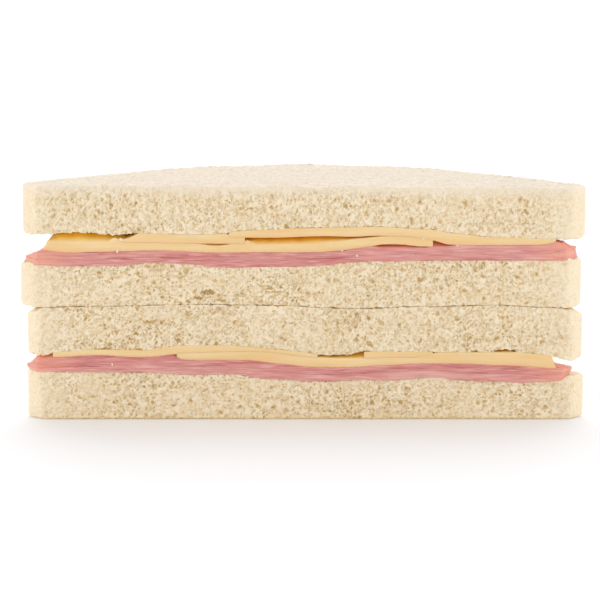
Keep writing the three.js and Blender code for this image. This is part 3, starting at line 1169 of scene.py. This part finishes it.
class Graph:
    """Adds and joins the nodes of one shader tree."""

    def __init__(self, tree: bpy.types.NodeTree) -> None:
        """Empties the tree."""
        self.tree = tree
        tree.nodes.clear()

    def add(self, kind: str, settings: dict[str, object] | None = None, **sockets: object) -> bpy.types.Node:
        """Adds a node.

        Args:
            kind: Blender's name of the node type.
            settings: Properties of the node.
            sockets: Values or sources of its inputs, with _ for a space.

        Returns:
            The node.
        """
        node = self.tree.nodes.new(kind)
        for key, value in (settings or {}).items():
            setattr(node, key, value)
        for key, value in sockets.items():
            self.feed(node.inputs[key.replace("_", " ")], value)
        return node

    def feed(self, socket: bpy.types.NodeSocket, value: object) -> None:
        """Sets an input to a value, or links it to the socket that feeds it."""
        if isinstance(value, bpy.types.NodeSocket):
            self.tree.links.new(value, socket)
        elif isinstance(value, tuple) and socket.type == "RGBA":
            socket.default_value = (*value, 1.0)
        else:
            socket.default_value = value

    def blend(self, share: object, first: object, second: object) -> bpy.types.NodeSocket:
        """Mixes two colours.

        Args:
            share: How much of the second colour shows.
            first: A colour or its source.
            second: A colour or its source.

        Returns:
            The mixed colour's socket.
        """
        node = self.tree.nodes.new("ShaderNodeMix")
        node.data_type = "RGBA"
        for slot, value in ((0, share), (6, first), (7, second)):
            self.feed(node.inputs[slot], value)
        return node.outputs[2]

    def range(
        self, value: object, low: float, high: float, to: tuple[float, float] = (0.0, 1.0)
    ) -> bpy.types.NodeSocket:
        """Maps a value from one range to another, and holds it at the ends.

        Args:
            value: The source.
            low: The value that gives the first end.
            high: The value that gives the second end.
            to: The two ends.

        Returns:
            The mapped value's socket.
        """
        ends = {"From_Min": low, "From_Max": high, "To_Min": to[0], "To_Max": to[1]}
        return self.add("ShaderNodeMapRange", None, Value=value, **ends).outputs["Result"]

    def arithmetic(self, operation: str, first: object, second: object) -> bpy.types.NodeSocket:
        """Returns the socket of an arithmetic node over two values."""
        node = self.tree.nodes.new("ShaderNodeMath")
        node.operation = operation
        self.feed(node.inputs[0], first)
        self.feed(node.inputs[1], second)
        return node.outputs[0]

    def fade(self, mask: object, share: object) -> bpy.types.NodeSocket:
        """Returns a mask made weaker by a share."""
        return self.arithmetic("MULTIPLY", mask, share)

    def patches(
        self,
        groups: dict[str, bpy.types.NodeTree],
        density: tuple[float, float, float],
        low: float,
        high: float,
    ) -> bpy.types.NodeSocket:
        """Adds soft, uneven patches.

        Args:
            groups: The shared node groups.
            density: Number of patches to the metre across, back and up.
            low: Noise value at which the mask is 0.
            high: Noise value at which the mask is 1.

        Returns:
            The mask's socket.
        """
        ways = dict(zip(("Across", "Back", "Up"), density))
        tree = {"node_tree": groups["mottle"]}
        return self.add("ShaderNodeGroup", tree, Low=low, High=high, **ways).outputs["Mask"]

    def mask(self, name: str) -> bpy.types.NodeSocket:
        """Returns the value that a piece's mesh keeps under a name."""
        return self.add("ShaderNodeAttribute", {"attribute_name": name}).outputs["Fac"]

    def close(self, sheen: Sheen, colour: object, roughness: object, height: object) -> None:
        """Adds the food's surface and the tree's output.

        Args:
            sheen: How the food takes the light.
            colour: Its colour or the source of it.
            roughness: Its roughness or the source of it.
            height: The source of its fine bumps.
        """
        depth = sheen.bump_depth
        bump = self.add("ShaderNodeBump", None, Strength=sheen.bump, Distance=depth, Height=height)
        surface = self.add(
            "ShaderNodeBsdfPrincipled",
            {"subsurface_method": "RANDOM_WALK"},
            Base_Color=colour,
            Roughness=roughness,
            Normal=bump.outputs["Normal"],
            Subsurface_Weight=sheen.inward,
            Subsurface_Radius=sheen.spread,
            Subsurface_Scale=sheen.depth,
            Specular_IOR_Level=sheen.mirror,
        )
        self.add("ShaderNodeOutputMaterial", None, Surface=surface.outputs[0])


def new_material(name: str) -> tuple[bpy.types.Material, Graph]:
    """Returns a new material and the graph of its empty shader tree."""
    material = bpy.data.materials.new(name)
    material.use_nodes = True
    return material, Graph(material.node_tree)


def shader_group(name: str, inputs: dict[str, tuple[str, object]], outputs: dict[str, str]) -> Graph:
    """Starts a shader node group with named inputs and outputs.

    Args:
        name: The group's name.
        inputs: Socket type and first value of each input.
        outputs: Socket type of each output.

    Returns:
        The group's graph, with its input and output nodes in place.
    """
    tree = bpy.data.node_groups.new(name, "ShaderNodeTree")
    graph = Graph(tree)
    for key, (kind, value) in inputs.items():
        socket = tree.interface.new_socket(name=key, in_out="INPUT", socket_type=kind)
        if value is not None:
            socket.default_value = value
    for key, kind in outputs.items():
        tree.interface.new_socket(name=key, in_out="OUTPUT", socket_type=kind)
    graph.add("NodeGroupInput").name = "in"
    graph.add("NodeGroupOutput").name = "out"
    return graph


def mottle_group() -> bpy.types.NodeTree:
    """Makes the group of soft, uneven patches that every food here shows.

    Returns:
        A group that turns a place and a number of patches to the metre each way into a mask.
    """
    graph = shader_group(
        "mottle",
        {
            "Across": ("NodeSocketFloat", 1000.0),
            "Back": ("NodeSocketFloat", 1000.0),
            "Up": ("NodeSocketFloat", 1000.0),
            "Detail": ("NodeSocketFloat", 2.0),
            "Low": ("NodeSocketFloat", 0.4),
            "High": ("NodeSocketFloat", 0.6),
        },
        {"Mask": "NodeSocketFloat"},
    )
    given, out = graph.tree.nodes["in"], graph.tree.nodes["out"]
    place = graph.add("ShaderNodeTexCoord").outputs["Object"]
    split = graph.add("ShaderNodeSeparateXYZ", None, Vector=place)
    axes = {"X": "Across", "Y": "Back", "Z": "Up"}
    parts = {a: graph.fade(split.outputs[a], given.outputs[key]) for a, key in axes.items()}
    scaled = graph.add("ShaderNodeCombineXYZ", None, **parts).outputs[0]
    noise = graph.add("ShaderNodeTexNoise", None, Vector=scaled, Scale=1.0, Detail=given.outputs["Detail"])
    mapped = graph.add(
        "ShaderNodeMapRange",
        None,
        Value=noise.outputs["Fac"],
        From_Min=given.outputs["Low"],
        From_Max=given.outputs["High"],
    )
    graph.feed(out.inputs["Mask"], mapped.outputs["Result"])
    return graph.tree


def pits_group() -> bpy.types.NodeTree:
    """Makes the group of pits finer than the modelled bubbles.

    Returns:
        A group that turns a number of pits to the metre into a height and a mask of the pits.
    """
    graph = shader_group(
        "pits",
        {"Density": ("NodeSocketFloat", 1800.0), "Opening": ("NodeSocketFloat", 0.45)},
        {"Height": "NodeSocketFloat", "Mask": "NodeSocketFloat"},
    )
    given, out = graph.tree.nodes["in"], graph.tree.nodes["out"]
    place = graph.add("ShaderNodeTexCoord").outputs["Object"]
    warp = graph.add("ShaderNodeTexNoise", None, Vector=place, Scale=1400.0, Detail=1.0)
    centred = graph.add("ShaderNodeVectorMath", {"operation": "SUBTRACT"})
    graph.feed(centred.inputs[0], warp.outputs["Color"])
    centred.inputs[1].default_value = (0.5, 0.5, 0.5)
    small = graph.add("ShaderNodeVectorMath", {"operation": "SCALE"}, Scale=0.9 * MM)
    graph.feed(small.inputs[0], centred.outputs[0])
    moved = graph.add("ShaderNodeVectorMath", {"operation": "ADD"})
    graph.feed(moved.inputs[0], place)
    graph.feed(moved.inputs[1], small.outputs[0])
    cells = graph.add("ShaderNodeTexVoronoi", None, Vector=moved.outputs[0], Scale=given.outputs["Density"])
    own = graph.add("ShaderNodeSeparateXYZ", None, Vector=cells.outputs["Color"]).outputs["X"]
    width = graph.fade(own, given.outputs["Opening"])
    opened = graph.add("ShaderNodeMapRange", None, Value=cells.outputs["Distance"], From_Max=width)
    height = opened.outputs["Result"]
    graph.feed(out.inputs["Height"], height)
    graph.feed(out.inputs["Mask"], graph.arithmetic("SUBTRACT", 1.0, height))
    return graph.tree


@dataclass(frozen=True)
class CrumbFinish:
    """White bread crumb: cream walls with pale grains, painted tan shade in bubbles and gaps, and paler
    trimmed sides.

    Args:
        pale: Colour of the thin walls between bubbles.
        wall: Colour of the crumb about them.
        pore_shade_and_tone: Colour of painted shade inside small bubbles and fine pits, and of darker random
            patches.
        deep: Colour of painted shade in the deepest bubbles.
        side: Colour of the trimmed sides, which are paler, and of the tips, where it also stands for painted
            light.
        top: Colour of the broad sliced face that is seen.
        top_shade: Colour of the darker grains there.
        rim: Colour of the cut face at the upper edge of the top slice.
        hidden: Colour of painted warm shade on the broad faces inside the pile, where they show in gaps.
        roughness: Its roughness.
        sheen: How it takes the light.
    """

    pale: Colour = (0.965, 0.845, 0.655)
    wall: Colour = (0.895, 0.73, 0.48)
    pore_shade_and_tone: Colour = (0.72, 0.52, 0.265)
    deep: Colour = (0.57, 0.38, 0.16)
    side: Colour = (0.945, 0.80, 0.585)
    top: Colour = (0.81, 0.72, 0.61)
    top_shade: Colour = (0.71, 0.625, 0.515)
    rim: Colour = (0.90, 0.79, 0.635)
    hidden: Colour = (0.97, 0.76, 0.42)
    roughness: float = 0.9
    sheen: Sheen = Sheen(0.5, 0.12 * MM, 0.2, (1.0, 0.8, 0.55), 0.5 * MM, 0.15)

    def build(self, groups: dict[str, bpy.types.NodeTree]) -> bpy.types.Material:
        """Makes the material.

        Args:
            groups: The shared node groups.

        Returns:
            The material.
        """
        material, graph = new_material("white_crumb")
        light = graph.patches(groups, (1800.0, 1800.0, 1500.0), 0.5, 0.62)
        dark = graph.patches(groups, (1250.0, 1250.0, 1050.0), 0.5, 0.34)
        drifts = graph.patches(groups, (170.0, 170.0, 80.0), 0.3, 0.75)
        grains = graph.patches(groups, (900.0, 700.0, 900.0), 0.36, 0.62)
        pits = graph.add("ShaderNodeGroup", {"node_tree": groups["pits"]}, Density=1300.0, Opening=0.75)
        hollow = graph.mask("hollow")
        skin = graph.mask("skin")
        # Painted shade in the bubbles: from the pale walls through tan to brown as they deepen.
        colour = graph.blend(graph.range(hollow, 0.0, 0.22), self.pale, self.wall)
        colour = graph.blend(graph.range(hollow, 0.22, 0.65), colour, self.pore_shade_and_tone)
        colour = graph.blend(graph.range(hollow, 0.65, 1.0), colour, self.deep)
        colour = graph.blend(graph.fade(light, 0.45), colour, self.pale)
        colour = graph.blend(graph.fade(dark, 0.40), colour, self.pore_shade_and_tone)
        colour = graph.blend(graph.fade(drifts, 0.16), colour, self.pore_shade_and_tone)
        # Paler trimmed sides; at the tips the paler colour also stands for painted light.
        colour = graph.blend(graph.range(skin, 0.0, 1.0, (0.0, 0.9)), colour, self.side)
        sliced = graph.blend(grains, self.top, self.top_shade)
        # Painted shade in the dips of the top face that is seen.
        sliced = graph.blend(graph.range(hollow, 0.2, 1.0, (0.0, 0.35)), sliced, self.pore_shade_and_tone)
        # Painted warm shade on the broad faces hidden inside the pile.
        sliced = graph.blend(skin, self.hidden, sliced)
        inside = graph.mask("inside")
        colour = graph.blend(graph.range(inside, 0.0, Bread.RIM_LOOK), colour, self.rim)
        colour = graph.blend(graph.range(inside, Bread.RIM_LOOK, Bread.TOP_LOOK), colour, sliced)
        # Painted shade in the fine pits.
        colour = graph.blend(graph.fade(pits.outputs["Mask"], 0.26), colour, self.pore_shade_and_tone)
        graph.close(self.sheen, colour, self.roughness, pits.outputs["Height"])
        return material


@dataclass(frozen=True)
class HamFinish:
    """Cooked ham: pink with rose fibres, pale threads of fat, salmon tips with painted light, painted shade
    in the gaps, and a moist sheen.

    Args:
        name: The material's name.
        pink: Colour of the meat.
        rose: Colour of its darker fibres.
        pale: Colour of its paler drifts and threads.
        tip: Colour of its thin ends, brighter and more salmon: painted light through them.
        deep: Colour of painted shade on its broad faces, away from the cut, where they show in gaps.
        roughness: Its roughness in wetter and in drier places.
        sheen: How it takes the light.
    """

    name: str = "cooked_ham"
    pink: Colour = (0.70, 0.272, 0.243)
    rose: Colour = (0.50, 0.128, 0.132)
    pale: Colour = (0.87, 0.50, 0.445)
    tip: Colour = (0.90, 0.40, 0.28)
    deep: Colour = (0.96, 0.37, 0.23)
    roughness: tuple[float, float] = (0.38, 0.55)
    sheen: Sheen = Sheen(0.35, 0.1 * MM, 0.3, (1.0, 0.6, 0.5), 0.6 * MM, 0.35)

    def build(self, groups: dict[str, bpy.types.NodeTree]) -> bpy.types.Material:
        """Makes the material.

        Args:
            groups: The shared node groups.

        Returns:
            The material.
        """
        material, graph = new_material(self.name)
        streaks = graph.patches(groups, (150.0, 150.0, 1700.0), 0.46, 0.64)
        threads = graph.patches(groups, (170.0, 170.0, 3100.0), 0.54, 0.68)
        drifts = graph.patches(groups, (75.0, 75.0, 700.0), 0.4, 0.72)
        fibre = graph.range(graph.mask("hollow"), 0.45, 1.0, (0.0, 0.6))
        colour = graph.blend(graph.fade(streaks, 0.6), self.pink, self.rose)
        colour = graph.blend(fibre, colour, self.rose)
        colour = graph.blend(graph.fade(drifts, 0.5), colour, self.pale)
        colour = graph.blend(graph.fade(threads, 0.7), colour, self.pale)
        # Painted light on the thin tips.
        colour = graph.blend(graph.range(graph.mask("skin"), 0.0, 1.0, (0.0, 0.7)), colour, self.tip)
        # Painted shade on the broad faces inside the pile.
        colour = graph.blend(graph.range(graph.mask("inside"), 0.0, 0.3), colour, self.deep)
        graph.close(self.sheen, colour, graph.range(drifts, 0.0, 1.0, self.roughness), streaks)
        return material


PALE_HAM = HamFinish(
    name="cooked_ham_paler",
    pink=(0.76, 0.345, 0.31),
    rose=(0.60, 0.205, 0.195),
    pale=(0.87, 0.54, 0.48),
)


@dataclass(frozen=True)
class CheeseFinish:
    """Mild sliced cheese: pale where it was cut, with painted deeper orange shade on its broad faces inside
    the pile.

    Args:
        cut: Colour of the cut edge.
        cream: Colour of its paler drifts.
        peach: Colour towards the slice's lower edge.
        deep: Colour of painted orange shade on the slice's broad faces, away from the cut, where they show
            in gaps.
        roughness: Its roughness in the marks of the knife and beside them.
        sheen: How it takes the light.
    """

    cut: Colour = (0.89, 0.61, 0.285)
    cream: Colour = (0.93, 0.72, 0.405)
    peach: Colour = (0.90, 0.535, 0.275)
    deep: Colour = (1.0, 0.59, 0.03)
    roughness: tuple[float, float] = (0.36, 0.46)
    sheen: Sheen = Sheen(0.2, 0.06 * MM, 0.3, (1.0, 0.8, 0.4), 0.7 * MM, 0.3)

    def build(self, groups: dict[str, bpy.types.NodeTree]) -> bpy.types.Material:
        """Makes the material.

        Args:
            groups: The shared node groups.

        Returns:
            The material.
        """
        material, graph = new_material("mild_cheese")
        drifts = graph.patches(groups, (55.0, 55.0, 450.0), 0.35, 0.65)
        marks = graph.patches(groups, (180.0, 180.0, 2200.0), 0.3, 0.75)
        colour = graph.blend(graph.fade(drifts, 0.7), self.cut, self.cream)
        colour = graph.blend(graph.range(graph.mask("hollow"), 0.5, 1.0, (0.0, 0.6)), colour, self.peach)
        # Painted orange shade on the broad faces inside the pile, where they show in gaps.
        colour = graph.blend(graph.range(graph.mask("inside"), 0.0, 0.3), colour, self.deep)
        graph.close(self.sheen, colour, graph.range(marks, 0.0, 1.0, self.roughness), marks)
        return material


@dataclass(frozen=True)
class Crumb:
    """One loose crumb on the cut faces.

    Args:
        place: Where it lies, across and up.
        back: How far behind the cut faces its middle lies.
        size: Half its width and half its height.
        tilt: Its turn on the cut face, in radians.
    """

    place: tuple[float, float]
    back: float
    size: tuple[float, float]
    tilt: float = 0.0


@dataclass
class Crumbs:
    """The few loose crumbs and the strand that the knife left on the cut faces.

    Args:
        seed: Seed of their lumps.
        crumbs: The crumbs.
    """

    NAME: ClassVar[str] = "loose_crumbs"
    FINENESS: ClassVar[int] = 3
    LUMPS: ClassVar[int] = 5
    LUMP_SIZE: ClassVar[float] = 0.16
    LUMP_TURNS: ClassVar[float] = 2.2

    seed: int = 31
    crumbs: tuple[Crumb, ...] = (
        Crumb((-43.4 * MM, 43.6 * MM), 0.35 * MM, (0.44 * MM, 0.34 * MM)),
        Crumb((-44.3 * MM, 40.8 * MM), 0.25 * MM, (0.24 * MM, 0.42 * MM)),
        Crumb((12.9 * MM, 39.8 * MM), 0.12 * MM, (0.24 * MM, 0.26 * MM)),
        Crumb((28.7 * MM, 43.9 * MM), 0.35 * MM, (0.45 * MM, 0.18 * MM), 0.4),
        Crumb((36.8 * MM, 42.2 * MM), 0.25 * MM, (0.40 * MM, 0.20 * MM), -0.3),
        Crumb((9.4 * MM, 41.0 * MM), 0.22 * MM, (0.30 * MM, 0.16 * MM)),
        Crumb((-45.8 * MM, 13.5 * MM), 0.12 * MM, (0.18 * MM, 0.40 * MM), 0.1),
        Crumb((45.9 * MM, 27.3 * MM), 0.45 * MM, (1.20 * MM, 0.10 * MM), 0.2),
    )

    def build(self, finish: bpy.types.Material) -> None:
        """Makes the crumbs as one mesh.

        Args:
            finish: The crumb's material.
        """
        rng = np.random.default_rng(self.seed)
        whole = bmesh.new()
        for crumb in self.crumbs:
            made = bmesh.ops.create_icosphere(whole, subdivisions=self.FINENESS, radius=1.0)["verts"]
            lumps = rng.normal(size=(self.LUMPS, 3))
            wide, tall = crumb.size
            for vertex in made:
                away = np.array(vertex.co)
                waves = float(np.sin(self.LUMP_TURNS * lumps @ away).sum())
                swell = 1 + self.LUMP_SIZE * waves / math.sqrt(self.LUMPS)
                across, up = away[0] * wide * swell, away[2] * tall * swell
                turned = (
                    across * math.cos(crumb.tilt) - up * math.sin(crumb.tilt),
                    across * math.sin(crumb.tilt) + up * math.cos(crumb.tilt),
                )
                vertex.co = (
                    crumb.place[0] + turned[0],
                    max(CAD_BOX[0].y, CAD_BOX[0].y + crumb.back + away[1] * min(wide, tall) * swell),
                    crumb.place[1] + turned[1],
                )
        mesh = bpy.data.meshes.new(self.NAME)
        whole.to_mesh(mesh)
        whole.free()
        mesh.polygons.foreach_set("use_smooth", np.ones(len(mesh.polygons), bool))
        mesh.materials.append(finish)
        piece = put_in_scene(self.NAME, mesh)
        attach(piece, BODY)
        log.info("%s: %d crumbs, %d faces", self.NAME, len(self.crumbs), len(mesh.polygons))


@dataclass(frozen=True)
class Lamp:
    """One large soft light far away.

    Args:
        towards: Direction that its light travels in.
        strength: Its strength.
        spread: How wide it looks from the object, in degrees.
    """

    towards: tuple[float, float, float]
    strength: float
    spread: float


@dataclass(frozen=True)
class Studio:
    """The pale floor, the soft light and the camera.

    Args:
        camera_back: Distance of the camera from the cut faces.
        camera_height: Height of the camera above the floor.
        seen_width: Width of what the camera sees at the cut faces.
        aim: Point of the cut faces in the middle of the picture, across and up.
        sensor: Width of the camera's sensor, in millimetres.
        clip: How near and how far the camera sees.
        floor_radius: Radius of the floor.
        floor_corners: Number of corners that make the floor round.
        floor_colour: Colour of the floor.
        floor_roughness: Roughness of the floor.
        floor_mirror: How much light the floor mirrors.
        sky: Strength of the light from all round.
        lamps: The lamps at both sides and behind.
    """

    camera_back: float = 0.600
    camera_height: float = 0.121
    seen_width: float = 0.1435
    aim: tuple[float, float] = (-0.0007, 0.02914)
    sensor: float = 36.0
    clip: tuple[float, float] = (0.01, 50.0)
    floor_radius: float = 6.0
    floor_corners: int = 64
    floor_colour: Colour = (0.900, 0.905, 0.925)
    floor_roughness: float = 0.6
    floor_mirror: float = 0.2
    sky: float = 0.85
    lamps: tuple[Lamp, ...] = (
        Lamp((-1.0, 0.18, -0.45), 0.5, 40),
        Lamp((1.0, 0.18, -0.45), 0.5, 40),
        Lamp((0.0, -1.0, -1.1), 0.9, 60),
    )

    def build(self) -> None:
        """Makes the camera, the floor and the light."""
        self.build_camera()
        self.build_floor()
        self.build_light()

    def build_light(self) -> None:
        """Makes the pale world and the lamps, and shows colours as they are."""
        scene = bpy.context.scene
        world = bpy.data.worlds.new("studio")
        scene.world = world
        world.use_nodes = True
        sky = world.node_tree.nodes["Background"]
        sky.inputs["Color"].default_value = (1, 1, 1, 1)
        sky.inputs["Strength"].default_value = self.sky
        for lamp in self.lamps:
            data = bpy.data.lights.new("soft_lamp", "SUN")
            data.energy = lamp.strength
            data.angle = math.radians(lamp.spread)
            light = put_in_scene("soft_lamp", data)
            light.rotation_euler = Vector(lamp.towards).to_track_quat("-Z", "Y").to_euler()
        scene.view_settings.view_transform = "Standard"
        scene.view_settings.look = "None"
        scene.view_settings.exposure = 0.0
        scene.view_settings.gamma = 1.0

    def build_camera(self) -> None:
        """Makes the camera at the photograph's place."""
        front = CAD_BOX[0].y
        data = bpy.data.cameras.new("camera")
        camera = put_in_scene("camera", data)
        place = Vector((self.aim[0], front - self.camera_back, self.camera_height))
        aim = Vector((self.aim[0], front, self.aim[1]))
        camera.location = place
        camera.rotation_euler = (aim - place).to_track_quat("-Z", "Y").to_euler()
        data.sensor_width = self.sensor
        data.lens = self.sensor * (aim - place).length / self.seen_width
        data.clip_start, data.clip_end = self.clip
        bpy.context.scene.camera = camera

    def build_floor(self) -> None:
        """Makes the round, pale floor."""
        mesh = bpy.data.meshes.new("floor")
        count = self.floor_corners
        radius = self.floor_radius
        turns = [2 * math.pi * k / count for k in range(count)]
        ring = [(radius * math.cos(turn), radius * math.sin(turn), 0) for turn in turns]
        mesh.from_pydata(ring, [], [list(range(count))])
        floor = put_in_scene("floor", mesh)
        paint = bpy.data.materials.new("white_paper")
        paint.use_nodes = True
        shader = paint.node_tree.nodes["Principled BSDF"]
        shader.inputs["Base Color"].default_value = (*self.floor_colour, 1)
        shader.inputs["Roughness"].default_value = self.floor_roughness
        shader.inputs["Specular IOR Level"].default_value = self.floor_mirror
        mesh.materials.append(paint)


ALL_ACROSS = (-80 * MM, 80 * MM)
UPRIGHT_BUBBLES = (
    Bubbles((0.50 * MM, 0.58 * MM), (0.08, 0.46), 0.12, 0.30 * MM),
    Bubbles((0.80 * MM, 0.98 * MM), (0.12, 0.60), 0.60, 0.42 * MM),
    Bubbles((1.35 * MM, 1.55 * MM), (0.15, 0.60), 0.83, 0.52 * MM),
)


@dataclass
class Sandwich:
    """The two stacked halves with their finishes.

    Args:
        layers: The layers of both halves, from the floor upwards.
        crumbs: The loose crumbs on the cut faces.
    """

    layers: tuple[Layer, ...] = (
        Bread(
            "bread_bottom",
            11,
            edge_round=(0.05 * MM, 0.10 * MM),
            press=(0.0, 0.27 * MM),
            ragged=(0.02 * MM, 0.25 * MM),
            touches=(ALL_ACROSS,),
            coarseness=1.1,
            stands=True,
        ),
        Ham("ham_lower_under", 12, finish=Finish.PALE_HAM, touches=(ALL_ACROSS,)),
        Ham("ham_lower_over", 13, touches=((-60 * MM, -4 * MM), (2 * MM, 34 * MM), (40 * MM, 49 * MM))),
        Cheese(
            "cheese_lower_wide",
            14,
            touches=((30.5 * MM, 45.5 * MM), (50 * MM, 62 * MM)),
            slant=1.2 * MM,
        ),
        Cheese("cheese_lower_over", 15, touches=((-61 * MM, -25 * MM), (-18 * MM, 0.0))),
        Cheese("cheese_lower_strip", 16, touches=((16 * MM, 32 * MM),)),
        Bread(
            "bread_lower_lid",
            17,
            edge_round=(0.10 * MM, 0.22 * MM),
            press=(0.27 * MM, 0.10 * MM),
            ragged=(0.25 * MM, 0.12 * MM),
            touches=((-64 * MM, -50 * MM), (50 * MM, 64 * MM)),
            clears=((3.6 * MM, 17.0 * MM),),
            coarseness=1.09,
            holes=(
                Hole(-47.6 * MM, 0.03, (2.2 * MM, 0.32 * MM), 0.6 * MM),
                Hole(-39.4 * MM, 0.03, (1.0 * MM, 0.35 * MM), 0.5 * MM),
                Hole(-51.8 * MM, 0.80, (0.9 * MM, 0.7 * MM), 0.25 * MM),
                Hole(-36.4 * MM, 0.64, (2.0 * MM, 0.40 * MM), 0.45 * MM),
                Hole(-29.9 * MM, 0.14, (0.8 * MM, 0.45 * MM), 0.7 * MM),
            ),
        ),
        Bread(
            "bread_upper_base",
            21,
            edge_round=(0.22 * MM, 0.10 * MM),
            press=(0.10 * MM, 0.27 * MM),
            ragged=(0.12 * MM, 0.25 * MM),
            touches=(ALL_ACROSS,),
            coarseness=1.03,
            holes=(
                Hole(-22.7 * MM, 0.30, (2.0 * MM, 0.60 * MM), 0.95 * MM),
                Hole(-25.0 * MM, 0.15, (1.2 * MM, 0.42 * MM), 0.7 * MM),
                Hole(-19.6 * MM, 0.10, (1.5 * MM, 0.30 * MM), 0.45 * MM),
                Hole(-6.5 * MM, 0.34, (2.6 * MM, 0.28 * MM), 0.32 * MM),
            ),
        ),
        Ham("ham_upper_under", 22, touches=(ALL_ACROSS,)),
        Ham("ham_upper_over", 23, touches=((-45 * MM, 18 * MM), (35 * MM, 60 * MM))),
        Cheese("cheese_upper_wide", 24, touches=((-46 * MM, -24.5 * MM), (-18.5 * MM, -12 * MM))),
        Cheese("cheese_upper_strip", 25, touches=((-41 * MM, -12 * MM),)),
        Cheese("cheese_upper_over", 26, touches=((-19 * MM, 62 * MM),)),
        Bread(
            "bread_top",
            27,
            fineness=OPEN_CRUMB_FINENESS,
            edge_round=(0.10 * MM, 0.45 * MM),
            press=(0.27 * MM, 0.0),
            ragged=(0.25 * MM, 0.12 * MM),
            bubbles=UPRIGHT_BUBBLES,
            settles=0.0,
            open_top=True,
        ),
    )
    crumbs: Crumbs = field(default_factory=Crumbs)

    def build(self) -> None:
        """Builds and dresses every layer and the loose crumbs."""
        groups = {"mottle": mottle_group(), "pits": pits_group()}
        finishes = {
            Finish.CRUMB: CrumbFinish().build(groups),
            Finish.HAM: HamFinish().build(groups),
            Finish.PALE_HAM: PALE_HAM.build(groups),
            Finish.CHEESE: CheeseFinish().build(groups),
        }
        pile = Pile({layer.node: CadLayer(layer.node) for layer in self.layers})
        for layer in self.layers:
            piece = layer.build(pile)
            piece.data.materials.append(finishes[layer.finish])
        self.crumbs.build(finishes[Finish.CRUMB])


def main() -> None:
    """Builds the studio and the sandwich."""
    logging.basicConfig(level=logging.INFO, format="%(message)s")
    Studio().build()
    Sandwich().build()


if __name__ == "__main__":
    main()
